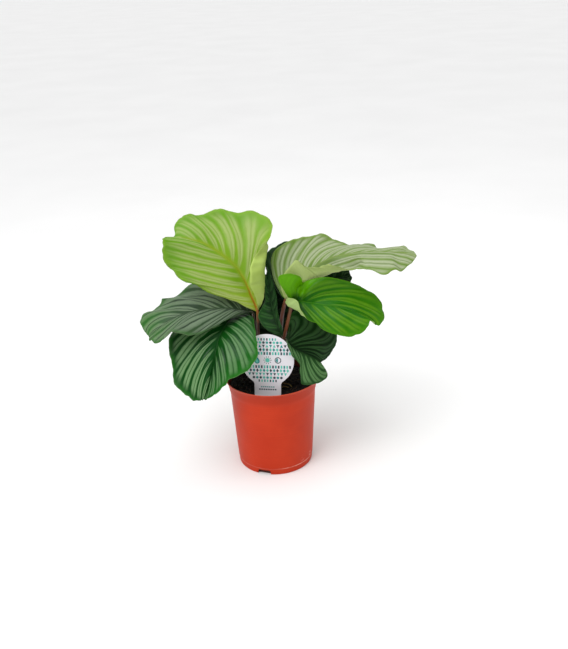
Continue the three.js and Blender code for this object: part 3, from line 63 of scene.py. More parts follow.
# Blades: rows from the blade's foot to its tip, each row from the left margin over the midrib
# (fifth point) to the right margin.
BLADE_NETS = {
    "leaf_1": [
        [[-15.74,-3.2,213.89],[-15.49,-3.15,214.09],[-15.24,-3.1,214.29],[-14.99,-3.05,214.49],[-14.74,-3.0,214.69],[-14.49,-2.95,214.89],[-14.24,-2.9,215.09],[-13.99,-2.85,215.28],[-13.73,-2.8,215.48]],
        [[-28.86,-5.0,222.1],[-26.05,-5.22,220.61],[-22.98,-4.8,219.51],[-19.65,-3.72,218.79],[-16.07,-2.0,218.45],[-10.23,-2.81,223.79],[-6.84,-3.99,231.54],[-9.05,-7.75,236.35],[-15.82,-14.0,236.79]],
        [[-41.58,-5.0,230.48],[-36.3,-5.76,227.63],[-30.56,-5.35,225.53],[-24.36,-3.76,224.18],[-17.7,-1.0,223.58],[-10.77,1.99,235.42],[-4.19,-0.78,248.32],[-8.24,-9.05,254.79],[-21.42,-20.0,255.29]],
        [[-58.07,-5.0,237.11],[-49.06,-6.89,233.69],[-39.67,-6.69,231.15],[-29.88,-4.39,229.49],[-19.71,-0.0,228.72],[-12.88,5.17,244.29],[-3.62,5.18,261.56],[-5.63,-3.36,271.66],[-21.6,-18.0,272.83]],
        [[-73.84,-6.0,243.26],[-60.74,-8.55,239.99],[-47.72,-8.07,237.38],[-34.79,-4.55,235.43],[-21.95,2.0,234.15],[-17.12,6.82,251.49],[-6.05,12.41,270.42],[-1.02,11.13,283.67],[-17.48,-4.0,283.91]],
        [[-77.99,-6.0,246.15],[-63.84,-8.6,242.86],[-49.93,-7.96,240.23],[-36.25,-4.1,238.25],[-22.81,3.0,236.91],[-19.42,7.43,254.13],[-9.64,13.88,272.27],[1.27,17.18,288.02],[-8.37,3.0,292.9]],
        [[-80.92,-6.2,248.37],[-65.77,-8.78,244.95],[-51.12,-8.0,242.18],[-36.98,-3.88,240.07],[-23.35,3.6,238.6],[-20.69,7.16,255.6],[-11.92,14.22,273.85],[1.42,21.91,291.25],[-2.13,11.0,297.24]],
        [[-83.78,-6.4,251.52],[-67.72,-9.02,248.19],[-52.38,-8.12,245.23],[-37.77,-3.72,242.64],[-23.89,4.2,240.42],[-19.81,8.2,257.52],[-14.24,13.91,274.27],[-6.02,21.0,290.19],[4.53,19.5,304.08]],
        [[-89.05,-7.0,255.07],[-71.6,-9.52,251.9],[-55.11,-8.29,248.81],[-39.59,-3.32,245.8],[-25.02,5.4,242.85],[-19.86,10.32,261.04],[-14.36,16.72,279.31],[-6.8,24.46,296.45],[8.02,29.0,307.99]],
        [[-96.15,-8.0,258.44],[-76.81,-10.29,255.0],[-58.74,-8.55,251.77],[-41.93,-2.79,248.75],[-26.38,7.0,245.95],[-20.3,12.82,265.15],[-14.83,20.99,284.46],[-7.08,30.46,301.88],[9.41,36.0,313.38]],
        [[-102.14,-8.5,260.25],[-81.22,-10.51,257.08],[-61.87,-8.35,254.27],[-44.12,-2.01,251.84],[-27.94,8.5,249.77],[-21.71,14.98,270.0],[-16.71,24.37,289.65],[-9.56,35.36,307.33],[5.12,43.5,321.82]],
        [[-107.87,-9.0,264.94],[-85.43,-10.72,261.95],[-64.93,-8.13,259.09],[-46.37,-1.22,256.36],[-29.75,10.0,253.74],[-23.35,16.69,273.61],[-19.31,26.53,292.56],[-15.03,38.9,309.95],[-5.13,50.0,325.93]],
        [[-111.88,-8.7,268.7],[-88.72,-9.97,266.16],[-67.76,-6.95,263.56],[-48.99,0.38,260.92],[-32.42,12.0,258.23],[-26.53,19.11,277.48],[-22.93,29.37,295.42],[-20.86,42.1,312.35],[-17.65,54.0,329.57]],
        [[-115.67,-8.0,275.17],[-91.69,-8.69,272.34],[-70.35,-5.25,269.41],[-51.64,2.31,266.4],[-35.55,14.0,263.29],[-30.05,21.13,280.85],[-28.4,31.59,296.75],[-29.54,44.42,311.54],[-29.26,56.0,327.18]],
        [[-120.27,-7.6,278.9],[-95.57,-7.57,276.73],[-73.91,-3.66,274.33],[-55.27,4.13,271.71],[-39.66,15.8,268.86],[-35.52,23.03,285.82],[-35.36,33.37,301.0],[-38.98,45.82,314.77],[-43.48,57.5,328.6]],
        [[-123.2,-8.0,282.7],[-98.53,-7.02,281.09],[-77.17,-2.53,279.1],[-59.13,5.48,276.74],[-44.41,17.0,273.99],[-42.69,24.91,291.02],[-44.0,35.95,305.95],[-49.0,47.86,319.67],[-56.3,58.0,333.66]],
        [[-125.57,-8.6,289.49],[-101.63,-6.48,288.01],[-81.22,-1.4,285.94],[-64.33,6.67,283.29],[-50.96,17.7,280.04],[-52.21,26.0,294.67],[-54.71,36.51,307.82],[-60.48,47.59,319.18],[-71.12,55.5,329.55]],
        [[-126.44,-9.0,298.02],[-104.0,-5.77,296.23],[-85.13,-0.2,293.67],[-69.82,7.73,290.34],[-58.09,18.0,286.24],[-61.03,26.34,298.53],[-66.12,34.63,309.67],[-74.13,42.84,319.2],[-83.71,51.0,327.88]],
        [[-125.9,-9.0,303.75],[-106.24,-5.05,302.33],[-89.86,0.65,300.07],[-76.77,8.1,296.99],[-66.97,17.3,293.08],[-71.13,25.14,303.94],[-76.8,32.88,313.88],[-84.56,40.48,322.54],[-93.44,48.0,330.51]],
        [[-125.13,-9.0,309.44],[-108.47,-4.23,308.78],[-94.69,1.53,306.92],[-83.8,8.27,303.84],[-75.78,16.0,299.56],[-80.69,22.74,308.73],[-86.78,29.56,316.75],[-94.6,36.5,323.09],[-103.37,43.5,328.5]],
        [[-125.63,-7.0,313.89],[-114.8,-2.92,314.06],[-105.83,1.44,313.11],[-98.7,6.08,311.04],[-93.42,11.0,307.86],[-97.94,15.31,312.53],[-102.71,19.91,316.53],[-107.82,24.86,319.64],[-113.1,30.0,322.3]],
        [[-125.39,-4.0,315.71],[-119.92,-1.81,316.16],[-115.27,0.25,315.87],[-111.44,2.19,314.86],[-108.43,4.0,313.12],[-109.59,6.4,312.63],[-110.62,8.86,312.43],[-111.46,11.41,312.6],[-112.21,14.0,312.96]],
        [[-122.76,-2.65,316.56],[-122.62,-2.49,316.63],[-122.48,-2.33,316.7],[-122.34,-2.16,316.76],[-122.2,-2.0,316.83],[-122.06,-1.84,316.89],[-121.92,-1.67,316.96],[-121.78,-1.51,317.03],[-121.64,-1.35,317.09]],
    ],
    "leaf_2": [
        [[-21.9,1.06,210.7],[-21.89,1.3,210.93],[-21.88,1.53,211.15],[-21.87,1.77,211.38],[-21.86,2.0,211.6],[-21.85,2.23,211.83],[-21.84,2.47,212.05],[-21.82,2.7,212.28],[-21.81,2.94,212.5]],
        [[-33.09,-9.0,213.34],[-30.2,-6.63,213.76],[-27.89,-4.09,213.79],[-26.15,-1.38,213.42],[-24.98,1.5,212.66],[-24.83,3.87,215.14],[-25.25,6.41,217.23],[-26.24,9.12,218.92],[-27.8,12.0,220.22]],
        [[-44.18,-18.0,214.3],[-38.97,-13.59,215.43],[-34.76,-8.95,215.77],[-31.55,-4.09,215.31],[-29.35,1.0,214.05],[-30.48,7.06,218.78],[-32.92,13.41,222.47],[-36.67,20.06,225.11],[-41.74,27.0,226.71]],
        [[-59.01,-27.0,212.13],[-50.97,-20.74,214.89],[-44.39,-14.07,216.41],[-39.26,-6.99,216.67],[-35.59,0.5,215.68],[-40.05,9.23,223.27],[-46.62,18.55,229.04],[-55.32,28.48,232.98],[-66.13,39.0,235.11]],
        [[-78.93,-36.0,204.54],[-67.41,-28.13,210.66],[-57.8,-19.51,214.89],[-50.11,-10.13,217.24],[-44.33,-0.0,217.7],[-52.13,10.47,226.57],[-62.53,21.96,232.88],[-75.52,34.47,236.63],[-91.11,48.0,237.83]],
        [[-98.16,-44.0,203.73],[-83.94,-34.2,211.35],[-71.9,-23.59,216.42],[-62.05,-12.2,218.94],[-54.38,0.0,218.9],[-63.41,11.26,226.52],[-74.94,23.43,231.22],[-88.96,36.51,233.0],[-105.49,50.5,231.87]],
        [[-108.7,-46.0,207.45],[-93.42,-35.09,214.79],[-80.33,-23.79,219.22],[-69.41,-12.09,220.74],[-60.67,0.0,219.36],[-71.29,11.83,224.56],[-84.35,24.11,226.49],[-99.86,36.83,225.16],[-117.82,50.0,220.56]],
        [[-118.54,-48.0,211.25],[-102.39,-36.26,218.06],[-88.42,-24.35,221.71],[-76.61,-12.26,222.21],[-66.98,0.0,219.54],[-77.99,11.6,224.28],[-91.29,23.38,225.68],[-106.88,35.35,223.76],[-124.77,47.5,218.5]],
        [[-123.81,-48.0,209.4],[-108.26,-36.36,216.66],[-94.76,-24.55,220.77],[-83.31,-12.56,221.72],[-73.91,-0.4,219.52],[-85.27,10.43,224.33],[-98.78,21.44,225.83],[-114.46,32.63,224.0],[-132.29,44.0,218.86]],
        [[-128.12,-48.0,206.15],[-113.4,-36.7,214.1],[-100.61,-25.1,218.95],[-89.76,-13.2,220.68],[-80.85,-1.0,219.3],[-92.45,8.78,224.55],[-106.08,18.87,226.53],[-121.75,29.28,225.24],[-139.46,40.0,220.67]],
        [[-131.06,-47.2,201.53],[-117.74,-36.26,210.35],[-106.2,-25.06,216.18],[-96.42,-13.61,219.0],[-88.41,-1.9,218.83],[-98.97,7.19,222.6],[-111.31,16.54,223.35],[-125.44,26.14,221.07],[-141.35,36.0,215.76]],
        [[-133.56,-46.0,196.95],[-121.75,-35.54,206.56],[-111.54,-24.89,213.3],[-102.95,-14.04,217.17],[-95.96,-3.0,218.17],[-106.26,4.96,220.93],[-118.18,13.11,220.83],[-131.69,21.46,217.86],[-146.82,30.0,212.01]],
        [[-137.09,-44.5,194.83],[-126.59,-34.85,204.49],[-117.49,-25.05,211.44],[-109.78,-15.1,215.68],[-103.46,-5.0,217.2],[-113.4,2.02,219.41],[-124.73,9.2,218.89],[-137.46,16.52,215.65],[-151.59,24.0,209.68]],
        [[-140.73,-43.0,194.19],[-131.61,-34.38,203.4],[-123.61,-25.51,210.08],[-116.73,-16.38,214.22],[-110.97,-7.0,215.82],[-120.94,-1.39,218.54],[-132.06,4.48,218.66],[-144.33,10.61,216.17],[-157.75,17.0,211.09]],
        [[-144.02,-40.5,194.71],[-136.19,-33.24,202.81],[-129.22,-25.66,208.68],[-123.11,-17.74,212.3],[-117.86,-9.5,213.68],[-127.34,-5.27,216.9],[-137.73,-0.69,217.74],[-149.02,4.23,216.22],[-161.23,9.5,212.32]],
        [[-146.51,-38.0,195.87],[-140.28,-31.73,202.59],[-134.59,-25.31,207.37],[-129.41,-18.73,210.23],[-124.77,-12.0,211.15],[-133.74,-8.76,213.34],[-143.3,-5.35,213.35],[-153.46,-1.76,211.16],[-164.21,2.0,206.79]],
        [[-148.68,-35.0,194.61],[-145.0,-30.86,199.18],[-141.66,-26.65,202.51],[-138.65,-22.36,204.6],[-135.99,-18.0,205.44],[-141.51,-16.12,206.89],[-147.39,-14.16,207.0],[-153.64,-12.12,205.78],[-160.25,-10.0,203.22]],
        [[-150.52,-32.0,195.66],[-148.99,-30.22,197.76],[-147.57,-28.46,199.33],[-146.26,-26.72,200.34],[-145.06,-25.0,200.81],[-147.41,-23.72,201.2],[-149.87,-22.46,200.98],[-152.46,-21.22,200.15],[-155.17,-20.0,198.71]],
        [[-150.21,-29.7,196.98],[-150.3,-29.52,197.09],[-150.38,-29.35,197.21],[-150.46,-29.17,197.32],[-150.55,-29.0,197.44],[-150.63,-28.83,197.55],[-150.71,-28.65,197.67],[-150.8,-28.48,197.79],[-150.88,-28.3,197.9]],
    ],
    "leaf_3": [
        [[-41.28,6.15,208.74],[-41.58,6.11,208.61],[-41.87,6.08,208.48],[-42.17,6.04,208.36],[-42.47,6.0,208.23],[-42.77,5.96,208.11],[-43.06,5.92,207.98],[-43.36,5.89,207.85],[-43.66,5.85,207.73]],
        [[-30.91,9.0,209.85],[-33.91,7.94,210.27],[-37.12,6.92,209.99],[-40.54,5.94,209.02],[-44.16,5.0,207.35],[-50.51,5.89,209.2],[-57.28,6.85,209.66],[-64.47,7.89,208.73],[-72.07,9.0,206.42]],
        [[-23.87,2.0,207.29],[-29.0,2.45,208.78],[-34.42,2.76,209.17],[-40.11,2.95,208.45],[-46.08,3.0,206.63],[-58.98,5.0,209.59],[-72.57,6.67,209.75],[-86.87,8.0,207.12],[-101.87,9.0,201.69]],
        [[-19.67,-14.0,205.2],[-26.58,-10.1,207.72],[-33.74,-6.47,208.63],[-41.18,-3.1,207.9],[-48.88,0.0,205.55],[-66.57,1.68,207.74],[-84.89,2.73,206.11],[-103.83,3.18,200.68],[-123.4,3.0,191.44]],
        [[-18.36,-32.0,200.02],[-26.56,-24.44,204.35],[-34.91,-17.26,206.45],[-43.41,-10.44,206.32],[-52.05,-4.0,203.97],[-71.18,-4.21,203.97],[-90.58,-5.11,199.81],[-110.26,-6.71,191.48],[-130.22,-9.0,178.99]],
        [[-16.82,-46.0,189.98],[-26.43,-36.44,197.12],[-36.03,-27.08,201.46],[-45.63,-17.94,203.0],[-55.23,-9.0,201.73],[-73.44,-11.78,198.98],[-91.64,-14.87,192.0],[-109.83,-18.28,180.78],[-128.01,-22.0,165.34]],
        [[-16.87,-54.0,177.44],[-27.48,-44.31,187.37],[-37.95,-34.42,194.16],[-48.27,-24.31,197.8],[-58.45,-14.0,198.29],[-75.22,-18.92,192.73],[-91.78,-23.57,182.88],[-108.15,-27.92,168.76],[-124.32,-32.0,150.35]],
        [[-26.85,-60.0,162.47],[-35.87,-50.88,174.97],[-44.7,-41.01,184.35],[-53.31,-30.38,190.62],[-61.73,-19.0,193.79],[-78.04,-25.82,186.56],[-94.07,-31.6,175.01],[-109.82,-36.32,159.14],[-125.28,-40.0,138.94]],
        [[-42.05,-62.0,154.01],[-48.42,-53.86,166.34],[-54.39,-44.81,176.0],[-59.96,-34.86,182.97],[-65.13,-24.0,187.26],[-79.13,-31.45,179.06],[-92.55,-37.6,167.01],[-105.4,-42.45,151.1],[-117.68,-46.0,131.33]],
        [[-51.49,-62.0,150.39],[-56.38,-55.18,160.84],[-60.75,-47.57,169.12],[-64.62,-39.18,175.22],[-67.96,-30.0,179.14],[-79.88,-36.81,170.98],[-91.01,-42.42,159.48],[-101.35,-46.81,144.62],[-110.9,-50.0,126.41]],
        [[-58.76,-62.0,142.48],[-62.37,-56.77,152.17],[-65.53,-50.69,160.04],[-68.22,-43.77,166.1],[-70.46,-36.0,170.35],[-79.92,-42.18,162.58],[-88.68,-47.07,152.05],[-96.75,-50.68,138.75],[-104.11,-53.0,122.69]],
        [[-66.81,-61.0,133.34],[-68.94,-57.33,142.34],[-70.71,-52.78,149.85],[-72.13,-47.33,155.89],[-73.19,-41.0,160.44],[-80.32,-46.45,153.48],[-86.93,-50.6,144.36],[-93.02,-53.45,133.08],[-98.6,-55.0,119.63]],
        [[-74.74,-60.0,126.93],[-75.32,-57.64,134.14],[-75.71,-54.52,140.24],[-75.9,-50.64,145.24],[-75.89,-46.0,149.14],[-80.68,-50.3,144.11],[-85.21,-53.57,137.57],[-89.46,-55.8,129.54],[-93.45,-57.0,120.0]],
        [[-81.39,-58.0,122.14],[-80.94,-56.99,126.72],[-80.47,-55.49,130.65],[-79.96,-53.49,133.9],[-79.44,-51.0,136.49],[-82.22,-53.46,133.62],[-84.96,-55.28,129.88],[-87.67,-56.46,125.29],[-90.35,-57.0,119.83]],
        [[-84.69,-57.0,120.37],[-84.36,-56.84,122.39],[-84.09,-56.45,124.15],[-83.86,-55.84,125.65],[-83.69,-55.0,126.87],[-84.76,-55.93,125.59],[-85.89,-56.58,123.98],[-87.09,-56.93,122.02],[-88.36,-57.0,119.72]],
        [[-85.96,-57.0,121.39],[-86.19,-57.0,121.37],[-86.41,-57.0,121.36],[-86.64,-57.0,121.35],[-86.86,-57.0,121.34],[-87.09,-57.0,121.32],[-87.31,-57.0,121.31],[-87.54,-57.0,121.3],[-87.76,-57.0,121.28]],
    ],
    "leaf_4": [
        [[20.58,6.78,225.37],[20.82,6.58,225.25],[21.05,6.39,225.14],[21.29,6.19,225.03],[21.52,6.0,224.92],[21.76,5.81,224.81],[21.99,5.61,224.7],[22.23,5.42,224.59],[22.47,5.22,224.47]],
        [[13.74,12.0,235.93],[14.92,10.34,233.43],[16.71,8.84,231.08],[19.11,7.49,228.88],[22.11,6.3,226.82],[28.49,0.56,225.71],[30.49,-4.47,226.63],[26.48,-8.5,230.35],[19.27,-12.0,235.56]],
        [[5.39,31.0,260.58],[6.92,23.91,252.28],[10.36,17.47,244.32],[15.71,11.66,236.7],[22.97,6.5,229.43],[32.85,-2.71,227.54],[35.23,-9.91,229.8],[28.25,-14.6,237.24],[16.41,-18.0,247.36]],
        [[11.2,43.0,279.17],[10.36,32.97,267.24],[12.27,23.63,255.5],[16.94,14.97,243.94],[24.37,7.0,232.57],[35.97,-4.45,232.17],[38.29,-12.92,236.47],[29.61,-17.87,246.34],[15.3,-21.0,259.07]],
        [[28.41,48.0,287.75],[23.33,37.46,275.07],[21.33,27.2,262.28],[22.41,17.21,249.37],[26.56,7.5,236.34],[38.54,-5.24,238.06],[41.83,-14.49,244.27],[34.18,-19.38,256.11],[20.85,-22.0,270.88]],
        [[44.23,53.0,291.59],[35.92,41.88,279.67],[30.83,30.67,267.33],[28.95,19.38,254.57],[30.3,8.0,241.38],[41.57,-5.41,244.49],[45.38,-15.22,251.95],[39.47,-20.34,265.08],[28.48,-23.0,281.17]],
        [[58.62,56.0,291.17],[48.27,44.71,281.29],[41.04,33.04,270.75],[36.94,20.96,259.54],[35.96,8.5,247.66],[49.2,-3.18,250.46],[54.09,-12.11,257.67],[48.19,-17.49,270.59],[36.63,-21.0,286.49]],
        [[71.71,57.0,294.14],[60.2,45.13,285.86],[51.75,33.1,276.64],[46.35,20.88,266.46],[44.02,8.5,255.32],[58.93,-1.48,255.77],[66.06,-10.04,259.06],[60.26,-16.23,267.06],[46.72,-21.0,277.9]],
        [[88.28,55.0,286.68],[75.73,43.75,282.57],[65.88,32.16,277.32],[58.73,20.25,270.93],[54.27,8.0,263.41],[71.16,-1.34,262.24],[80.56,-9.89,263.3],[76.08,-16.97,268.48],[61.78,-23.0,276.58]],
        [[105.9,50.0,280.4],[92.57,40.06,280.14],[81.63,29.5,278.58],[73.07,18.31,275.71],[66.9,6.5,271.54],[83.81,-3.73,267.75],[93.66,-12.95,266.88],[90.06,-20.21,271.58],[76.21,-26.0,280.52]],
        [[123.22,43.0,281.57],[109.52,33.73,283.38],[97.95,24.14,283.55],[88.51,14.23,282.07],[81.19,4.0,278.95],[95.7,-5.48,273.46],[105.24,-14.42,269.95],[104.84,-22.28,270.39],[94.06,-29.0,274.94]],
        [[136.48,36.0,282.94],[124.18,27.66,285.66],[113.54,19.21,286.59],[104.56,10.66,285.71],[97.23,2.0,283.03],[106.24,-6.76,281.22],[112.69,-15.63,279.44],[114.02,-24.69,277.73],[109.27,-34.0,276.1]],
        [[142.84,28.0,279.78],[134.03,21.04,283.42],[126.35,14.05,285.54],[119.81,7.04,286.14],[114.41,0.0,285.22],[115.49,-9.46,284.91],[117.73,-18.95,283.05],[121.12,-28.46,279.64],[125.67,-38.0,274.68]],
        [[155.76,19.0,281.07],[148.79,13.6,284.14],[142.64,8.31,285.98],[137.29,3.1,286.56],[132.75,-2.0,285.91],[132.52,-13.22,285.0],[133.48,-24.29,282.24],[135.65,-35.22,277.64],[139.03,-46.0,271.19]],
        [[168.29,11.0,286.66],[163.14,7.07,287.73],[158.55,3.26,287.88],[154.52,-0.43,287.11],[151.05,-4.0,285.43],[150.19,-13.3,285.21],[150.23,-22.4,283.49],[151.2,-31.3,280.28],[153.07,-40.0,275.58]],
        [[172.43,6.0,289.02],[168.7,2.84,289.0],[165.4,-0.15,288.31],[162.53,-2.96,286.93],[160.09,-5.6,284.88],[159.17,-13.96,283.57],[159.09,-21.98,280.93],[159.85,-29.66,276.96],[161.45,-37.0,271.66]],
        [[175.98,-0.0,285.48],[174.05,-2.06,285.73],[172.35,-4.05,285.56],[170.88,-5.96,284.98],[169.64,-7.8,283.99],[169.09,-13.35,283.21],[169.07,-18.74,281.5],[169.56,-23.95,278.86],[170.58,-29.0,275.28]],
        [[181.21,-5.0,285.34],[180.0,-6.36,285.09],[178.96,-7.65,284.56],[178.06,-8.86,283.76],[177.32,-10.0,282.68],[176.85,-13.22,282.06],[176.68,-16.29,280.9],[176.8,-19.22,279.21],[177.22,-22.0,276.99]],
        [[184.08,-11.47,282.02],[184.01,-11.6,281.86],[183.93,-11.74,281.69],[183.85,-11.87,281.52],[183.78,-12.0,281.36],[183.7,-12.13,281.19],[183.62,-12.26,281.03],[183.55,-12.4,280.86],[183.47,-12.53,280.7]],
    ],
    "leaf_5": [
        [[27.89,-26.59,233.15],[28.14,-26.69,232.96],[28.38,-26.79,232.77],[28.62,-26.9,232.58],[28.87,-27.0,232.39],[29.11,-27.1,232.2],[29.35,-27.21,232.01],[29.6,-27.31,231.82],[29.84,-27.41,231.63]],
        [[24.28,-38.0,243.87],[25.51,-35.47,240.87],[26.82,-32.81,238.03],[28.25,-29.96,235.44],[29.75,-27.0,233.01],[24.16,-30.4,233.94],[20.82,-33.85,236.12],[21.02,-37.4,240.25],[23.25,-41.0,245.51]],
        [[18.31,-40.5,255.55],[21.63,-37.64,249.73],[24.86,-34.4,244.09],[27.98,-30.61,238.74],[31.02,-26.5,233.54],[26.04,-33.14,232.62],[23.89,-38.69,233.94],[26.11,-42.56,238.68],[30.79,-45.5,245.35]],
        [[12.79,-42.0,269.62],[18.9,-38.95,261.04],[24.37,-35.45,252.3],[28.76,-31.2,243.29],[32.52,-26.5,234.13],[29.76,-34.21,231.39],[28.79,-40.61,231.19],[30.9,-44.76,235.38],[34.95,-47.5,242.3]],
        [[16.18,-41.0,275.71],[21.68,-37.55,265.82],[26.6,-33.99,255.7],[30.62,-30.29,245.23],[34.14,-26.5,234.57],[34.1,-33.6,230.21],[34.4,-39.94,228.2],[35.38,-44.82,230.75],[36.91,-48.5,237.02]],
        [[28.66,-37.0,275.42],[29.88,-34.68,265.23],[31.41,-32.26,255.12],[33.43,-29.67,245.14],[35.73,-27.0,235.22],[37.76,-33.26,227.98],[39.31,-39.09,223.2],[39.9,-44.05,223.36],[39.37,-48.0,229.23]],
        [[39.59,-31.0,268.58],[37.63,-29.23,260.49],[36.43,-27.94,252.28],[36.46,-27.4,243.89],[37.2,-27.3,235.4],[38.01,-33.05,231.6],[39.67,-38.08,227.62],[42.17,-42.4,223.46],[45.52,-46.0,219.12]],
        [[42.28,-22.5,257.5],[40.68,-23.25,251.99],[39.46,-24.31,246.48],[38.79,-25.83,240.97],[38.42,-27.6,235.46],[40.06,-33.67,231.29],[42.68,-39.01,226.62],[46.27,-43.62,221.45],[50.83,-47.5,215.77]],
        [[51.27,-18.5,259.09],[47.68,-20.4,253.36],[44.51,-22.56,247.52],[42.04,-25.16,241.51],[40.0,-28.0,235.41],[42.45,-34.34,231.1],[45.96,-39.96,226.1],[50.53,-44.84,220.41],[56.18,-49.0,214.02]],
        [[70.29,-20.0,262.76],[61.75,-23.61,257.19],[54.36,-26.31,250.73],[48.11,-28.11,243.38],[43.01,-29.0,235.13],[45.86,-36.36,229.97],[49.85,-42.81,223.91],[54.99,-48.36,216.97],[61.27,-53.0,209.12]],
        [[97.61,-16.5,254.2],[82.96,-21.7,251.46],[69.72,-25.68,247.22],[57.89,-28.45,241.48],[47.48,-30.0,234.24],[51.35,-38.5,229.02],[56.39,-46.0,222.57],[62.58,-52.5,214.88],[69.93,-58.0,205.97]],
        [[121.43,-14.0,241.6],[101.94,-20.03,242.71],[84.24,-24.88,241.71],[68.31,-28.53,238.6],[54.15,-31.0,233.38],[58.82,-39.79,227.92],[64.77,-47.72,220.93],[72.01,-54.79,212.41],[80.54,-61.0,202.37]],
        [[136.4,-19.0,231.06],[115.03,-23.9,235.01],[95.61,-27.87,236.56],[78.13,-30.9,235.7],[62.59,-33.0,232.43],[67.72,-41.48,226.95],[74.2,-49.3,219.8],[82.04,-56.48,210.96],[91.23,-63.0,200.45]],
        [[141.22,-28.0,219.05],[121.77,-31.0,225.72],[103.98,-33.33,230.0],[87.85,-35.0,231.89],[73.38,-36.0,231.38],[79.08,-43.47,226.57],[85.98,-50.46,220.04],[94.07,-56.97,211.78],[103.35,-63.0,201.8]],
        [[141.11,-37.0,213.44],[125.72,-38.16,220.56],[111.5,-38.87,225.57],[98.44,-39.16,228.49],[86.55,-39.0,229.29],[91.95,-44.98,225.78],[98.21,-50.64,220.71],[105.32,-55.98,214.11],[113.28,-61.0,205.95]],
        [[138.82,-43.0,209.42],[128.44,-43.06,215.98],[118.64,-43.08,220.87],[109.42,-43.06,224.07],[100.78,-43.0,225.59],[104.73,-46.79,223.76],[109.05,-50.55,220.82],[113.76,-54.29,216.78],[118.85,-58.0,211.62]],
        [[135.57,-47.0,207.57],[129.62,-46.44,212.51],[123.82,-46.09,216.35],[118.16,-45.94,219.07],[112.64,-46.0,220.68],[114.73,-47.85,220.25],[116.89,-49.8,219.27],[119.11,-51.85,217.75],[121.41,-54.0,215.7]],
        [[132.42,-49.5,206.82],[129.89,-48.83,209.57],[127.34,-48.36,211.8],[124.77,-48.08,213.5],[122.18,-48.0,214.68],[123.13,-48.87,214.67],[124.08,-49.83,214.44],[125.01,-50.87,213.98],[125.94,-52.0,213.28]],
        [[130.17,-50.0,208.38],[129.95,-50.0,208.35],[129.73,-50.0,208.32],[129.5,-50.0,208.3],[129.28,-50.0,208.27],[129.06,-50.0,208.24],[128.83,-50.0,208.21],[128.61,-50.0,208.18],[128.39,-50.0,208.15]],
    ],
    "leaf_6": [
        [[20.48,-20.24,183.7],[20.33,-20.43,183.48],[20.19,-20.62,183.26],[20.05,-20.81,183.04],[19.91,-21.0,182.81],[19.76,-21.19,182.59],[19.62,-21.38,182.37],[19.48,-21.57,182.15],[19.34,-21.76,181.93]],
        [[24.12,-4.0,190.31],[23.82,-9.43,188.55],[23.3,-14.71,186.53],[22.4,-19.7,184.01],[21.23,-24.5,181.15],[21.1,-25.83,181.56],[20.94,-27.19,181.78],[20.75,-28.58,181.8],[20.54,-30.0,181.63]],
        [[26.36,8.0,200.38],[25.9,0.59,192.81],[25.21,-7.58,186.5],[24.17,-16.95,182.14],[22.94,-27.0,178.88],[22.33,-29.62,179.61],[21.71,-32.25,179.95],[21.08,-34.87,179.89],[20.43,-37.5,179.45]],
        [[35.25,15.0,206.76],[32.79,6.06,196.09],[30.27,-4.04,187.17],[27.63,-16.09,181.18],[24.92,-29.3,176.93],[24.41,-32.09,176.68],[23.92,-34.81,176.01],[23.44,-37.44,174.95],[22.98,-40.0,173.48]],
        [[48.95,18.0,205.95],[42.55,7.8,195.98],[36.63,-3.35,187.16],[31.53,-16.15,180.35],[26.95,-30.0,174.8],[26.88,-33.14,173.42],[26.86,-36.11,171.56],[26.87,-38.89,169.21],[26.92,-41.5,166.39]],
        [[62.94,17.0,197.51],[53.26,6.2,190.71],[44.21,-5.19,184.25],[36.31,-17.7,178.43],[29.24,-31.0,173.07],[29.57,-34.19,170.97],[30.02,-37.17,168.32],[30.56,-39.94,165.13],[31.21,-42.5,161.38]],
        [[75.41,13.0,186.59],[63.96,2.3,182.92],[52.77,-8.63,179.18],[42.09,-20.0,175.3],[31.79,-31.7,171.32],[33.14,-36.17,168.19],[34.24,-39.63,164.21],[35.04,-41.87,159.22],[35.68,-43.5,153.71]],
        [[84.27,7.5,176.36],[72.22,-2.89,175.61],[60.07,-13.07,174.41],[47.72,-22.84,172.35],[35.22,-32.3,169.62],[36.33,-38.22,164.24],[36.66,-42.19,157.61],[36.25,-44.31,149.82],[35.47,-45.5,141.43]],
        [[85.9,-0.5,167.94],[75.33,-10.03,169.32],[64.3,-18.87,169.97],[52.42,-26.41,169.29],[39.9,-33.0,167.61],[40.81,-39.96,160.13],[40.41,-44.24,151.24],[38.9,-46.2,141.14],[36.83,-47.0,130.43]],
        [[81.47,-10.0,161.21],[73.5,-17.26,163.87],[65.04,-23.88,165.64],[55.66,-29.33,165.79],[45.68,-34.0,164.86],[47.2,-39.98,157.32],[48.04,-43.89,148.72],[48.24,-45.92,139.15],[48.13,-47.0,129.1]],
        [[74.82,-19.5,156.83],[68.76,-24.22,159.15],[62.97,-28.37,160.67],[57.45,-31.97,161.42],[52.2,-35.0,161.37],[54.81,-39.39,154.64],[57.25,-42.35,147.34],[59.49,-43.61,139.37],[61.63,-44.0,131.06]],
        [[68.32,-28.5,154.72],[65.67,-30.76,155.89],[63.12,-32.77,156.69],[60.67,-34.51,157.13],[58.33,-36.0,157.2],[61.0,-37.6,153.54],[63.84,-38.75,149.24],[66.86,-39.45,144.31],[70.06,-39.7,138.73]],
        [[61.42,-36.39,154.88],[61.56,-36.49,154.74],[61.71,-36.59,154.6],[61.85,-36.7,154.46],[61.99,-36.8,154.32],[62.13,-36.9,154.18],[62.27,-37.01,154.04],[62.41,-37.11,153.9],[62.56,-37.21,153.75]],
    ],
    "leaf_7": [
        [[13.24,-10.87,179.74],[13.55,-10.78,179.81],[13.85,-10.69,179.88],[14.15,-10.59,179.96],[14.46,-10.5,180.03],[14.76,-10.41,180.1],[15.06,-10.31,180.17],[15.36,-10.22,180.25],[15.67,-10.13,180.32]],
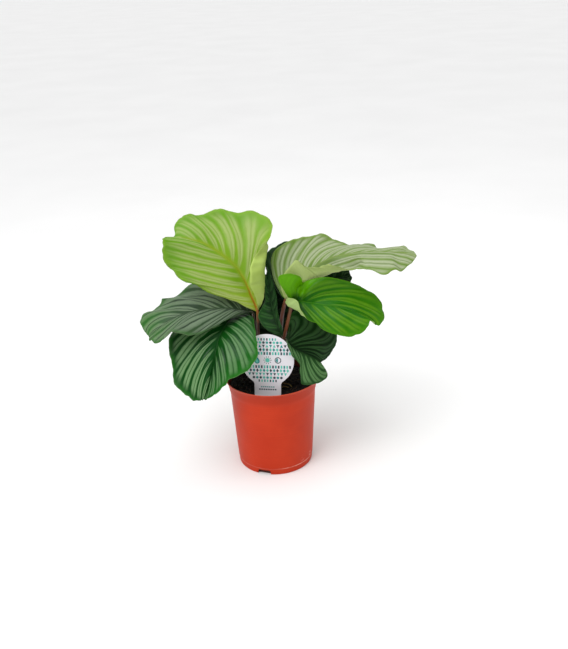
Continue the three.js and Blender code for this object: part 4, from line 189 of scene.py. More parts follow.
        [[4.08,-15.0,187.18],[6.58,-14.01,186.92],[8.88,-12.77,186.82],[10.97,-11.26,186.86],[12.85,-9.5,187.06],[13.73,-9.03,187.17],[14.53,-8.45,187.35],[15.25,-7.78,187.59],[15.89,-7.0,187.88]],
        [[-4.45,-20.0,196.19],[-0.24,-17.48,195.68],[3.51,-14.47,195.34],[6.82,-10.98,195.16],[9.68,-7.0,195.15],[10.9,-5.99,195.17],[11.97,-4.82,195.24],[12.89,-3.49,195.37],[13.66,-2.0,195.55]],
        [[-11.46,-22.0,207.52],[-5.91,-18.08,206.1],[-0.99,-13.44,204.84],[3.29,-8.08,203.75],[6.94,-2.0,202.83],[8.38,-0.8,203.11],[9.64,0.6,203.43],[10.72,2.2,203.8],[11.62,4.0,204.21]],
        [[-14.17,-20.0,215.62],[-8.53,-15.19,214.21],[-3.58,-9.59,213.06],[0.68,-3.19,212.15],[4.26,4.0,211.5],[6.21,5.15,211.73],[7.96,6.53,212.02],[9.51,8.15,212.4],[10.85,10.0,212.84]],
        [[-9.43,-10.0,221.39],[-5.75,-6.12,220.79],[-2.54,-1.65,220.45],[0.2,3.38,220.38],[2.46,9.0,220.57],[4.86,10.1,220.89],[7.04,11.46,221.33],[9.0,13.1,221.89],[10.74,15.0,222.57]],
        [[-4.92,1.0,226.21],[-2.97,3.46,226.7],[-1.29,6.29,227.38],[0.12,9.46,228.26],[1.26,13.0,229.34],[3.51,14.22,229.76],[5.56,15.71,230.32],[7.41,17.47,231.04],[9.05,19.5,231.9]],
        [[-3.89,9.0,235.25],[-2.47,10.62,235.88],[-1.23,12.49,236.67],[-0.17,14.62,237.63],[0.72,17.0,238.76],[2.51,17.82,239.07],[4.16,18.84,239.52],[5.67,20.07,240.11],[7.04,21.5,240.83]],
        [[-3.35,14.0,245.53],[-2.24,15.12,245.94],[-1.24,16.4,246.5],[-0.36,17.87,247.19],[0.41,19.5,248.04],[1.66,19.8,248.48],[2.82,20.23,249.03],[3.9,20.8,249.69],[4.89,21.5,250.47]],
        [[-1.85,18.0,254.79],[-1.21,18.49,255.08],[-0.61,19.07,255.46],[-0.07,19.74,255.92],[0.43,20.5,256.47],[1.15,20.63,256.81],[1.83,20.84,257.22],[2.47,21.13,257.71],[3.07,21.5,258.27]],
        [[-0.06,20.6,261.31],[0.12,20.7,261.4],[0.31,20.8,261.49],[0.49,20.9,261.58],[0.67,21.0,261.67],[0.85,21.1,261.76],[1.03,21.2,261.85],[1.21,21.3,261.94],[1.39,21.4,262.03]],
    ],
    "leaf_8": [
        [[20.62,24.45,214.25],[20.87,24.34,214.08],[21.12,24.22,213.91],[21.37,24.11,213.73],[21.63,24.0,213.56],[21.88,23.89,213.39],[22.13,23.78,213.22],[22.38,23.66,213.05],[22.64,23.55,212.88]],
        [[7.81,38.0,231.78],[11.34,33.57,227.81],[15.06,30.1,223.88],[18.98,27.57,220.0],[23.09,26.0,216.18],[24.67,25.36,213.96],[26.34,25.15,211.76],[28.09,25.36,209.58],[29.93,26.0,207.43]],
        [[-1.73,54.0,251.38],[4.18,44.73,243.5],[10.65,37.3,235.48],[17.66,31.73,227.33],[25.21,28.0,219.04],[28.69,27.57,215.58],[32.41,27.92,212.06],[36.35,29.07,208.49],[40.53,31.0,204.85]],
        [[0.74,66.0,267.19],[6.69,53.83,256.81],[13.44,43.95,245.75],[20.98,36.33,234.0],[29.32,31.0,221.56],[34.56,29.98,217.84],[40.16,29.97,213.81],[46.12,30.98,209.48],[52.43,33.0,204.85]],
        [[14.41,73.0,275.26],[18.29,60.08,263.59],[23.2,49.44,251.01],[29.12,41.08,237.53],[36.06,35.0,223.15],[42.38,32.86,219.78],[49.19,31.82,215.97],[56.49,31.86,211.73],[64.28,33.0,207.07]],
        [[30.57,77.0,279.96],[32.19,64.33,267.51],[35.21,53.77,254.26],[39.64,45.33,240.19],[45.47,39.0,225.33],[52.06,35.66,222.55],[59.36,33.38,219.37],[67.37,32.16,215.79],[76.07,32.0,211.8]],
        [[47.83,78.0,280.33],[47.57,66.02,268.46],[48.86,55.86,255.81],[51.72,47.52,242.4],[56.13,41.0,228.22],[62.51,37.08,226.26],[69.7,34.1,223.9],[77.71,32.08,221.13],[86.53,31.0,217.97]],
        [[64.94,77.0,278.45],[63.48,66.2,267.76],[63.52,56.93,256.3],[65.07,49.2,244.06],[68.11,43.0,231.06],[73.83,38.79,230.03],[80.33,35.38,228.59],[87.63,32.79,226.74],[95.72,31.0,224.48]],
        [[81.66,72.0,273.04],[79.17,63.34,264.17],[78.06,55.79,254.69],[78.35,49.34,244.58],[80.03,44.0,233.86],[84.5,40.11,233.22],[89.71,36.82,232.25],[95.67,34.11,230.96],[102.37,32.0,229.33]],
        [[95.25,63.0,262.91],[92.79,57.08,257.0],[91.39,51.77,250.68],[91.05,47.08,243.96],[91.77,43.0,236.85],[94.75,40.25,236.43],[98.3,37.83,235.8],[102.44,35.75,234.95],[107.16,34.0,233.88]],
        [[104.69,53.0,252.04],[102.77,49.7,249.25],[101.47,46.6,246.23],[100.8,43.7,242.98],[100.76,41.0,239.5],[102.46,39.32,239.56],[104.55,37.76,239.48],[107.03,36.32,239.26],[109.89,35.0,238.9]],
        [[107.47,38.81,242.41],[107.51,38.61,242.32],[107.55,38.41,242.23],[107.59,38.2,242.14],[107.63,38.0,242.06],[107.67,37.8,241.97],[107.72,37.59,241.88],[107.76,37.39,241.79],[107.8,37.19,241.7]],
    ],
    "leaf_9": [
        [[4.15,29.0,147.59],[4.47,29.0,147.65],[4.79,29.0,147.7],[5.11,29.0,147.75],[5.43,29.0,147.81],[5.75,29.0,147.86],[6.07,29.0,147.91],[6.39,29.0,147.97],[6.71,29.0,148.02]],
        [[-9.05,34.0,149.93],[-5.39,32.42,150.44],[-1.72,31.32,151.12],[1.97,30.67,151.96],[5.68,30.5,152.96],[9.65,30.62,151.9],[13.64,31.24,151.02],[17.65,32.37,150.31],[21.67,34.0,149.78]],
        [[-21.4,39.0,156.38],[-14.56,36.21,156.65],[-7.72,34.28,157.2],[-0.87,33.21,158.02],[5.99,33.0,159.12],[13.52,33.32,157.66],[21.06,34.59,156.51],[28.6,36.82,155.65],[36.16,40.0,155.1]],
        [[-29.62,44.0,165.56],[-20.62,40.32,165.4],[-11.62,37.76,165.63],[-2.61,36.32,166.23],[6.4,36.0,167.23],[15.99,36.69,165.73],[25.58,38.59,164.65],[35.18,41.69,163.98],[44.78,46.0,163.73]],
        [[-32.61,49.0,177.41],[-22.74,44.79,176.71],[-12.87,41.81,176.45],[-2.99,40.04,176.64],[6.9,39.5,177.28],[17.35,40.42,176.06],[27.81,42.64,175.32],[38.27,46.17,175.05],[48.74,51.0,175.26]],
        [[-33.02,53.5,190.06],[-22.93,48.99,188.85],[-12.82,45.74,188.1],[-2.7,43.74,187.83],[7.43,43.0,188.04],[18.05,44.01,187.3],[28.68,46.35,187.06],[39.33,50.01,187.32],[49.99,55.0,188.08]],
        [[-31.72,57.5,202.08],[-21.83,52.89,200.57],[-11.92,49.51,199.52],[-1.99,47.39,198.92],[7.96,46.5,198.77],[18.07,47.59,198.5],[28.2,49.95,198.7],[38.34,53.59,199.36],[48.51,58.5,200.48]],
        [[-28.45,61.0,213.45],[-19.26,56.49,211.68],[-10.04,53.15,210.31],[-0.8,50.99,209.34],[8.46,50.0,208.77],[17.56,51.13,208.91],[26.67,53.42,209.45],[35.81,56.88,210.38],[44.97,61.5,211.7]],
        [[-22.59,64.0,223.42],[-14.74,59.83,221.6],[-6.87,56.69,220.1],[1.02,54.58,218.91],[8.93,53.5,218.05],[16.52,54.75,218.64],[24.14,57.0,219.54],[31.77,60.25,220.75],[39.43,64.5,222.27]],
        [[-14.19,66.5,231.31],[-8.34,62.92,229.84],[-2.46,60.14,228.57],[3.44,58.17,227.49],[9.37,57.0,226.61],[14.76,58.26,227.23],[20.18,60.26,228.04],[25.63,63.01,229.02],[31.09,66.5,230.19]],
        [[-4.6,68.0,236.66],[-0.98,65.33,235.65],[2.65,63.18,234.71],[6.31,61.58,233.84],[9.98,60.5,233.04],[13.29,61.64,233.58],[16.62,63.26,234.17],[19.97,65.39,234.83],[23.34,68.0,235.56]],
        [[3.93,69.0,239.27],[5.56,67.35,238.98],[7.21,65.96,238.69],[8.87,64.85,238.39],[10.54,64.0,238.08],[12.1,64.86,238.26],[13.66,65.98,238.44],[15.24,67.36,238.61],[16.83,69.0,238.77]],
        [[10.13,67.5,241.34],[10.36,67.5,241.33],[10.58,67.5,241.32],[10.81,67.5,241.31],[11.03,67.5,241.3],[11.25,67.5,241.28],[11.48,67.5,241.27],[11.7,67.5,241.26],[11.93,67.5,241.25]],
    ],
}
# Petioles: from the blade down into the soil.
PETIOLE_LINES = {
    "petiole_1": {"pts":[[-14.7,-3.2,212.8],[-14.9,-2.0,201.9],[-15.3,0.0,184.3],[-13.8,2.0,154.9],[-11.5,4.5,116.0],[-11.5,5.0,99.0]],"top":1.9,"foot":3.0},
    "petiole_2": {"pts":[[-20.9,2.6,209.9],[-20.3,5.5,203.1],[-18.8,8.5,190.6],[-17.1,11.0,165.3],[-13.0,15.0,116.0],[-12.5,15.0,99.0]],"top":1.7,"foot":2.6},
    "petiole_3": {"pts":[[-41.1,8.4,205.9],[-37.1,11.0,203.4],[-31.6,11.5,198.4],[-26.9,8.0,189.8],[-23.0,4.0,177.3],[-20.0,-1.0,116.0],[-20.0,-1.0,99.0]],"top":1.7,"foot":2.6},
    "petiole_4": {"pts":[[21.2,6.0,222.9],[19.4,6.0,216.8],[16.2,7.0,203.4],[13.9,8.5,187.5],[12.0,11.0,159.4],[5.5,13.0,116.0],[5.5,13.0,99.0]],"top":2.5,"foot":3.6},
    "petiole_5": {"pts":[[28.2,-26.2,230.1],[27.0,-24.5,225.5],[23.9,-18.0,209.4],[21.0,-12.5,194.9],[18.2,-6.5,181.3],[15.6,-1.0,167.6],[13.6,2.0,154.9],[9.0,2.5,116.0],[9.0,2.5,99.0]],"top":2.2,"foot":3.2},
    "petiole_6": {"pts":[[19.2,-21.2,181.7],[18.0,-17.8,175.9],[16.5,-14.5,163.9],[11.0,-13.0,116.0],[11.0,-13.0,99.0]],"top":1.5,"foot":2.3},
    "petiole_7": {"pts":[[14.1,-10.6,178.6],[12.3,-10.0,167.7],[-1.0,-6.0,116.0],[-1.0,-6.0,99.0]],"top":1.4,"foot":2.2},
    "petiole_8": {"pts":[[21.3,23.8,211.8],[18.6,22.0,202.6],[13.7,21.0,169.2],[5.0,24.5,116.0],[5.0,24.5,99.0]],"top":1.8,"foot":2.6},
    "petiole_9": {"pts":[[5.3,29.0,145.9],[3.7,29.5,138.1],[-7.0,29.5,118.0],[-7.0,29.5,99.0]],"top":1.7,"foot":2.5},
}


# ------------------------------------------------------------------ helpers
def srgb(r, g, b):
    out = []
    for c in (r, g, b):
        c = c / 255.0
        out.append(c / 12.92 if c <= 0.04045 else ((c + 0.055) / 1.055) ** 2.4)
    return (*out, 1.0)


def smooth(x, a, b):
    t = np.clip((x - a) / (b - a), 0.0, 1.0)
    return t * t * (3 - 2 * t)


def catmull(P, t):
    P = np.asarray(P, float)
    n = len(P)
    Q = np.concatenate([[2 * P[0] - P[1]], P, [2 * P[-1] - P[-2]]])
    i = np.clip(np.floor(t).astype(int), 0, n - 2)
    f = (t - i).reshape((-1,) + (1,) * (P.ndim - 1))
    p0, p1, p2, p3 = Q[i], Q[i + 1], Q[i + 2], Q[i + 3]
    return 0.5 * (2 * p1 + (p2 - p0) * f + (2 * p0 - 5 * p1 + 4 * p2 - p3) * f**2 + (3 * p1 - p0 - 3 * p2 + p3) * f**3)


def make_mesh(name, verts, faces, mats, mat_index=None, attrs=None, uv=None, smooth_shade=True):
    me = bpy.data.meshes.new(name)
    me.from_pydata([tuple(v) for v in np.asarray(verts, float).tolist()], [], [tuple(f) for f in faces])
    for m in mats:
        me.materials.append(m)
    if mat_index is not None:
        me.polygons.foreach_set("material_index", np.asarray(mat_index, dtype=np.int32))
    me.polygons.foreach_set("use_smooth", np.full(len(me.polygons), smooth_shade))
    for key, values in (attrs or {}).items():
        a = me.attributes.new(key, "FLOAT", "POINT")
        a.data.foreach_set("value", np.asarray(values, dtype=np.float32))
    if uv is not None:
        layer = me.uv_layers.new(name="OFBake")
        layer.data.foreach_set("uv", np.asarray(uv, dtype=np.float32).ravel())
    me.validate()
    me.update()
    ob = bpy.data.objects.new(name, me)
    bpy.context.scene.collection.objects.link(ob)
    return ob


def vnoise(pts, scale, seed=0.0, octaves=3):
    off = Vector((seed * 13.7, seed * 7.3, seed * 3.1))
    return np.array([noise.fractal(Vector(p) * scale + off, 1.0, 2.0, octaves) for p in pts])


class Nodes:
    """Small helper that builds a node tree."""

    def __init__(self, name):
        self.mat = bpy.data.materials.new(name)
        self.mat.use_nodes = True
        self.t = self.mat.node_tree
        self.t.nodes.clear()
        self.out = self.t.nodes.new("ShaderNodeOutputMaterial")
        self.bsdf = self.t.nodes.new("ShaderNodeBsdfPrincipled")
        self.t.links.new(self.bsdf.outputs[0], self.out.inputs["Surface"])

    def new(self, kind, **props):
        n = self.t.nodes.new(kind)
        for k, v in props.items():
            setattr(n, k, v)
        return n

    def link(self, a, b):
        self.t.links.new(a, b)

    def attr(self, name):
        n = self.new("ShaderNodeAttribute", attribute_name=name, attribute_type="GEOMETRY")
        return n.outputs["Fac"]

    def val(self, x, sock):
        if isinstance(x, (int, float)):
            sock.default_value = x
        elif isinstance(x, tuple):
            sock.default_value = x
        else:
            self.link(x, sock)

    def m(self, op, a, b=None, c=None, clamp=False):
        n = self.new("ShaderNodeMath", operation=op, use_clamp=clamp)
        self.val(a, n.inputs[0])
        if b is not None:
            self.val(b, n.inputs[1])
        if c is not None:
            self.val(c, n.inputs[2])
        return n.outputs[0]

    def step(self, x, a, b):
        n = self.new("ShaderNodeMapRange", interpolation_type="SMOOTHSTEP", clamp=True)
        self.val(x, n.inputs["Value"])
        self.val(a, n.inputs["From Min"])
        self.val(b, n.inputs["From Max"])
        return n.outputs["Result"]

    def range(self, x, a, b, c, d):
        n = self.new("ShaderNodeMapRange", interpolation_type="LINEAR", clamp=True)
        self.val(x, n.inputs["Value"])
        for k, v in (("From Min", a), ("From Max", b), ("To Min", c), ("To Max", d)):
            self.val(v, n.inputs[k])
        return n.outputs["Result"]

    def mix(self, f, a, b, blend="MIX"):
        n = self.new("ShaderNodeMix", data_type="RGBA", blend_type=blend)
        self.val(f, n.inputs[0])
        self.val(a, n.inputs[6])
        self.val(b, n.inputs[7])
        return n.outputs[2]

    def noise(self, scale, detail=3.0, rough=0.5, vec=None, dist=0.0, out="Fac"):
        n = self.new("ShaderNodeTexNoise")
        n.inputs["Scale"].default_value = scale
        n.inputs["Detail"].default_value = detail
        n.inputs["Roughness"].default_value = rough
        n.inputs["Distortion"].default_value = dist
        if vec is not None:
            self.link(vec, n.inputs["Vector"])
        return n.outputs[0] if out == "Fac" else n.outputs[1]

    def voronoi(self, scale, vec=None, feature="F1"):
        n = self.new("ShaderNodeTexVoronoi", feature=feature)
        n.inputs["Scale"].default_value = scale
        if vec is not None:
            self.link(vec, n.inputs["Vector"])
        return n.outputs["Distance"]

    def coords(self, which="Object", scale=(1, 1, 1)):
        tc = self.new("ShaderNodeTexCoord")
        mp = self.new("ShaderNodeMapping")
        mp.inputs["Scale"].default_value = scale
        self.link(tc.outputs[which], mp.inputs["Vector"])
        return mp.outputs[0]

    def comb(self, x, y, z):
        n = self.new("ShaderNodeCombineXYZ")
        self.val(x, n.inputs[0])
        self.val(y, n.inputs[1])
        self.val(z, n.inputs[2])
        return n.outputs[0]

    def bump(self, height, strength, distance, normal=None):
        n = self.new("ShaderNodeBump")
        n.inputs["Strength"].default_value = strength
        n.inputs["Distance"].default_value = distance
        self.link(height, n.inputs["Height"])
        if normal is not None:
            self.link(normal, n.inputs["Normal"])
        return n.outputs[0]

    def set(self, **k):
        for key, v in k.items():
            self.val(v, self.bsdf.inputs[key.replace("_", " ")])
        return self


# ------------------------------------------------------------------ materials
def blade_top(name, P):
    N = Nodes(name)
    ph, vv, uu, md = N.attr("ph"), N.attr("vv"), N.attr("uu"), N.attr("md")
    obj = N.coords()
    av = N.m("ABSOLUTE", vv)
    big = N.noise(28.0, 2.0, 0.5, obj)
    fine = N.noise(420.0, 3.0, 0.6, obj)
    wob = N.m("MULTIPLY", N.m("SUBTRACT", N.noise(70.0, 2.0, 0.5, obj), 0.5), 0.16)
    frac = N.m("FRACT", N.m("ADD", ph, wob))
    d = N.m("ABSOLUTE", N.m("SUBTRACT", frac, 0.5))
    right = N.step(vv, -0.01, 0.01)
    # silver bands: two to a period, parted by a thin dark line and by a wide green band
    w = N.m("ADD", P.get("w0", 0.1), N.m("MULTIPLY", N.step(av, 0.0, P.get("grow", 0.5)), P.get("w1", 0.34) - P.get("w0", 0.1)))
    w = N.m("ADD", w, N.m("MULTIPLY", N.m("SUBTRACT", big, 0.5), 0.10))
    edge = P.get("soft", 0.055)
    band = N.m("SUBTRACT", 1.0, N.step(N.m("SUBTRACT", d, w), -edge, edge))
    far = N.m("SUBTRACT", 1.0, N.step(N.m("ADD", av, N.m("MULTIPLY", N.m("SUBTRACT", big, 0.5), P.get("far_n", 0.14))), P.get("far0", 0.80), P.get("far1", 0.95)))
    near = N.step(av, P.get("near0", 0.0), P.get("near1", 0.12))
    foot = N.step(uu, P.get("foot0", 0.0), P.get("foot1", 0.12))
    streak_v = N.comb(N.m("MULTIPLY", ph, 9.0), N.m("MULTIPLY", vv, 2.2), 0.0)
    streak = N.noise(1.0, 3.0, 0.6, streak_v)
    silver = N.m("MULTIPLY", N.m("MULTIPLY", band, N.m("MULTIPLY", far, near)), foot)
    silver = N.m("MULTIPLY", silver, N.range(streak, 0.3, 0.7, P.get("smin", 0.72), 1.0), clamp=True)
    # a brighter core in each band
    core = N.m("SUBTRACT", 1.0, N.m("MULTIPLY", N.m("ABSOLUTE", N.m("SUBTRACT", d, 0.17)), 7.0), clamp=True)
    green = N.mix(N.range(big, 0.35, 0.65, 0.0, 1.0), P["dark"], P["dark2"])
    out_c = P["out"]
    if "out_foot" in P:
        out_c = N.mix(N.step(uu, 0.2, 0.5), P["out_foot"], P["out"])
    green = N.mix(N.step(av, 0.45, 1.0), green, out_c)
    silver_c, core_c = P["silver"], P["core"]
    # a second set of colours for the right half of the blade; on leaf_6 the left half is painted in shade and the right
    # half painted lit
    if "dark_r" in P:
        green = N.mix(right, green, P["dark_r"])
        silver_c = N.mix(right, P["silver"], P["silver_r"])
        core_c = N.mix(right, P["core"], P["core_r"])
    # colours towards the blade's foot (footc, foots); on leaf_2, leaf_3, leaf_4 and leaf_5 they are darker: painted
    # shade where the blade meets the crown
    if "footc" in P:
        k = N.m("SUBTRACT", 1.0, N.step(uu, P.get("fc0", 0.0), P.get("fc1", 0.45)))
        green = N.mix(k, green, P["footc"])
        silver_c = N.mix(k, silver_c, P.get("foots", P["silver"]))
    if "tipc" in P:
        k = N.step(N.m("ADD", uu, N.m("MULTIPLY", av, 0.25)), P.get("tc0", 0.55), P.get("tc1", 1.05))
        green = N.mix(k, green, P["tipc"])
        silver_c = N.mix(k, silver_c, P.get("tips", P["silver"]))
    # on leaf_5 the lobe of the left half near the foot is painted lit: a brighter, vivid green, kept out of the painted
    # shade at the foot, with its silver bands faded
    if "lobe" in P:
        k = N.m("MULTIPLY", N.step(N.m("MULTIPLY", vv, -1.0), 0.12, 0.4), N.m("SUBTRACT", 1.0, N.step(uu, P["lobe_u"][0], P["lobe_u"][1])))
        green = N.mix(k, green, P["lobe"])
        silver = N.m("MULTIPLY", silver, N.m("SUBTRACT", 1.0, N.m("MULTIPLY", k, 0.75)))
    col = N.mix(N.m("MULTIPLY", silver, P.get("silver_k", 0.9)), green, silver_c)
    col = N.mix(N.m("MULTIPLY", N.m("MULTIPLY", silver, core), P.get("core_k", 0.35)), col, core_c)
    line = N.m("SUBTRACT", 1.0, N.step(d, 0.008, P.get("line_w", 0.045)))
    line = N.m("MULTIPLY", N.m("MULTIPLY", line, N.m("SUBTRACT", 1.0, N.step(av, 0.86, 0.99))), P.get("line_k", 0.8))
    col = N.mix(line, col, P["line"])
    # fine parallel veins
    fv = N.m("ABSOLUTE", N.m("SUBTRACT", N.m("FRACT", N.m("MULTIPLY", N.m("ADD", ph, wob), 8.0)), 0.5))
    col = N.mix(N.m("MULTIPLY", N.step(fv, 0.5, 0.0), 0.10), col, P["line"])
    # margin
    col = N.mix(N.m("MULTIPLY", N.step(av, 0.90, 0.985), P.get("margin_k", 0.5)), col, P["margin"])
    col = N.mix(N.m("MULTIPLY", N.step(av, 0.982, 0.996), P.get("edge_k", 0.6)), col, P["edge"])
    # midrib
    rib = N.m("SUBTRACT", 1.0, N.step(md, 0.25, P.get("rib_w", 1.3)))
    ribcol = N.mix(N.step(uu, P.get("rib0", 0.05), P.get("rib1", 0.5)), P["rib_base"], P["rib_tip"])
    col = N.mix(N.m("MULTIPLY", rib, P.get("rib_k", 0.85)), col, ribcol)
    glow = N.m("SUBTRACT", 1.0, N.step(md, 0.5, P.get("zone", 6.0)))
    col = N.mix(N.m("MULTIPLY", N.m("MULTIPLY", glow, N.m("SUBTRACT", 1.0, rib)), P.get("zone_k", 0.35)), col, P["zone_c"])
    # small tonal variation
    col = N.mix(N.range(fine, 0.3, 0.7, 0.0, 0.10), col, P["dark"])
    col = N.mix(1.0, col, (*P.get("tone", (1.0, 1.0, 1.0)), 1.0), "MULTIPLY")
    N.set(Base_Color=col)
    N.set(Roughness=N.range(N.m("ADD", fine, N.m("MULTIPLY", silver, 0.15)), 0.3, 0.9, P.get("r0", 0.38), P.get("r1", 0.52)))
    N.bsdf.inputs["Specular IOR Level"].default_value = P.get("spec", 0.28)
    N.bsdf.inputs["Coat Weight"].default_value = P.get("coat", 0.04)
    N.bsdf.inputs["Coat Roughness"].default_value = P.get("coat_r", 0.3)
    cells = N.voronoi(1500.0, obj)
    h = N.m("ADD", N.m("MULTIPLY", fv, 0.55), N.m("MULTIPLY", cells, 0.35))
    h = N.m("ADD", h, N.m("MULTIPLY", N.noise(160.0, 3.0, 0.5, obj), 0.9))
    N.set(Normal=N.bump(h, 0.35, 0.00035))
    return N.mat


def blade_under(name, base, alt, rib, k=0.35, lines=1.0):
    N = Nodes(name)
    ph, vv, uu, md = N.attr("ph"), N.attr("vv"), N.attr("uu"), N.attr("md")
    obj = N.coords()
    av = N.m("ABSOLUTE", vv)
    frac = N.m("FRACT", ph)
    d = N.m("ABSOLUTE", N.m("SUBTRACT", frac, 0.5))
    band = N.m("SUBTRACT", 1.0, N.step(d, 0.22, 0.36))
    band = N.m("MULTIPLY", band, N.m("MULTIPLY", N.step(av, 0.03, 0.3), N.m("SUBTRACT", 1.0, N.step(av, 0.8, 0.97))))
    col = N.mix(N.m("MULTIPLY", band, k), base, alt)
    col = N.mix(N.range(N.noise(35.0, 3.0, 0.5, obj), 0.35, 0.65, 0.0, 0.25), col, alt)
    line = N.m("SUBTRACT", 1.0, N.step(d, 0.01, 0.06))
    col = N.mix(N.m("MULTIPLY", line, 0.35 * lines), col, rib)
    fv = N.m("ABSOLUTE", N.m("SUBTRACT", N.m("FRACT", N.m("MULTIPLY", ph, 8.0)), 0.5))
    col = N.mix(N.m("MULTIPLY", N.step(fv, 0.5, 0.0), 0.12 * lines), col, rib)
    r = N.m("SUBTRACT", 1.0, N.step(md, 0.6, 2.0))
    col = N.mix(N.m("MULTIPLY", r, 0.8), col, rib)
    N.set(Base_Color=col)
    N.set(Roughness=N.range(N.noise(420.0, 3.0, 0.6, obj), 0.3, 0.7, 0.5, 0.66))
    N.bsdf.inputs["Specular IOR Level"].default_value = 0.3
    h = N.m("ADD", N.m("MULTIPLY", fv, 0.6), N.m("MULTIPLY", N.voronoi(1300.0, obj), 0.4))
    N.set(Normal=N.bump(h, 0.4, 0.0003))
    return N.mat


def stalk_mat(name, base, foot, top, tip_at=0.12):
    N = Nodes(name)
    tt = N.attr("tt")
    obj = N.coords(scale=(1, 1, 0.12))
    streak = N.noise(900.0, 4.0, 0.6, obj)
    mott = N.noise(90.0, 3.0, 0.6, N.coords())
    col = N.mix(N.step(tt, 0.0, tip_at), top, base)
    col = N.mix(N.step(tt, 0.55, 0.95), col, foot)
    col = N.mix(N.range(streak, 0.35, 0.65, 0.0, 0.55), col, foot)
    col = N.mix(N.range(mott, 0.5, 0.75, 0.0, 0.4), col, top)
    N.set(Base_Color=col)
    N.set(Roughness=N.range(mott, 0.3, 0.7, 0.42, 0.6))
    N.bsdf.inputs["Coat Weight"].default_value = 0.12
    N.bsdf.inputs["Coat Roughness"].default_value = 0.35
    N.set(Normal=N.bump(streak, 0.5, 0.0004))
    return N.mat


def pot_mat():
    N = Nodes("pot_plastic")
    obj = N.coords()
    sep = N.new("ShaderNodeSeparateXYZ")
    N.link(obj, sep.inputs[0])
    z = sep.outputs[2]
    mott = N.noise(22.0, 4.0, 0.55, obj)
    fine = N.noise(700.0, 3.0, 0.6, obj)
    col = N.mix(N.range(mott, 0.32, 0.68, 0.0, 1.0), srgb(188, 49, 16), srgb(198, 57, 23))
    rings = N.noise(1.0, 3.0, 0.6, N.coords(scale=(8, 8, 1400)))
    col = N.mix(N.range(rings, 0.35, 0.65, 0.0, 0.12), col, srgb(146, 34, 16))
    # scuffs: short pale scratches, denser low down
    sc = N.noise(1.0, 4.0, 0.7, N.coords(scale=(160, 160, 900)), dist=0.6)
    low = N.m("SUBTRACT", 1.0, N.step(z, 0.015, 0.075))
    scuff = N.m("MULTIPLY", N.step(sc, 0.66, 0.74), N.m("ADD", 0.15, N.m("MULTIPLY", low, 0.6)))
    col = N.mix(N.m("MULTIPLY", scuff, 0.5), col, srgb(228, 132, 105))
    # dust specks
    sp = N.voronoi(260.0, obj)
    gate = N.step(N.noise(40.0, 2.0, 0.5, obj), 0.52, 0.66)
    speck = N.m("MULTIPLY", N.m("SUBTRACT", 1.0, N.step(sp, 0.03, 0.10)), gate)
    col = N.mix(N.m("MULTIPLY", speck, 0.35), col, srgb(236, 168, 140))
    # the collar is darker from about 104 mm up
    col = N.mix(N.m("MULTIPLY", N.step(z, 0.1035, 0.1125), 0.42), col, srgb(156, 44, 20))
    # a painted highlight along the pot's top edge
    rim_highlight = N.step(z, 0.1222, 0.1236)
    col = N.mix(N.m("MULTIPLY", rim_highlight, 0.35), col, srgb(226, 110, 80))
    # a painted highlight along the foot ring, broken by noise and strongest on the right side
    highlight_and_scuff_noise = N.noise(1.0, 4.0, 0.75, N.coords(scale=(110, 110, 260)))
    ring = N.m("MULTIPLY", N.step(z, 0.0074, 0.0082), N.m("SUBTRACT", 1.0, N.step(z, 0.0088, 0.0096)))
    side = N.range(sep.outputs[0], -0.01, 0.035, 0.25, 1.0)
    col = N.mix(N.m("MULTIPLY", N.m("MULTIPLY", ring, side), N.range(highlight_and_scuff_noise, 0.38, 0.6, 0.15, 0.95)), col, srgb(238, 186, 168))
    # pale patches low on the front right of the wall: scuffs with a painted highlight
    side2 = N.m("MULTIPLY", N.step(sep.outputs[0], 0.030, 0.040), N.m("SUBTRACT", 1.0, N.step(sep.outputs[1], -0.03, 0.0)))
    scuff_and_highlight = N.m("MULTIPLY", N.step(highlight_and_scuff_noise, 0.56, 0.64), N.m("MULTIPLY", N.step(z, 0.006, 0.009), N.m("SUBTRACT", 1.0, N.step(z, 0.012, 0.024))))
    col = N.mix(N.m("MULTIPLY", N.m("MULTIPLY", scuff_and_highlight, side2), 0.9), col, srgb(240, 196, 182))
    # painted shade on the inside of the wall above the soil, under the leaves
    rr2 = N.m("SQRT", N.m("ADD", N.m("MULTIPLY", sep.outputs[0], sep.outputs[0]), N.m("MULTIPLY", sep.outputs[1], sep.outputs[1])))
    inner_wall_shade = N.m("MULTIPLY", N.m("SUBTRACT", 1.0, N.step(N.m("SUBTRACT", rr2, N.m("ADD", N.range(z, 0.1080, 0.1126, 0.0565, 0.0573), N.range(z, 0.1126, 0.1214, 0.0, 0.0029))), -0.0001, 0.0001)), N.m("MULTIPLY", N.step(z, 0.1070, 0.1080), N.m("SUBTRACT", 1.0, N.step(z, 0.1208, 0.1220))))
    col = N.mix(N.m("MULTIPLY", inner_wall_shade, N.range(mott, 0.3, 0.7, 0.80, 0.93)), col, srgb(46, 22, 14))
    # painted shade inside the drain notches and the hollow under the foot
    notch_shade = N.m("MULTIPLY", N.m("SUBTRACT", 1.0, N.step(rr2, 0.0478, 0.0487)), N.m("SUBTRACT", 1.0, N.step(z, 0.007, 0.009)))
    col = N.mix(N.m("MULTIPLY", notch_shade, 0.92), col, srgb(58, 34, 28))
    N.set(Base_Color=col)
    N.set(Roughness=N.range(N.m("ADD", N.m("MULTIPLY", mott, 0.6), N.m("MULTIPLY", fine, 0.4)), 0.3, 0.7, 0.40, 0.56))
    N.bsdf.inputs["Specular IOR Level"].default_value = 0.16
    h = N.m("ADD", N.m("MULTIPLY", fine, 0.5), N.m("MULTIPLY", N.noise(1.0, 2.0, 0.5, N.coords(scale=(30, 30, 900))), 0.7))
    N.set(Normal=N.bump(h, 0.25, 0.00025))
    return N.mat


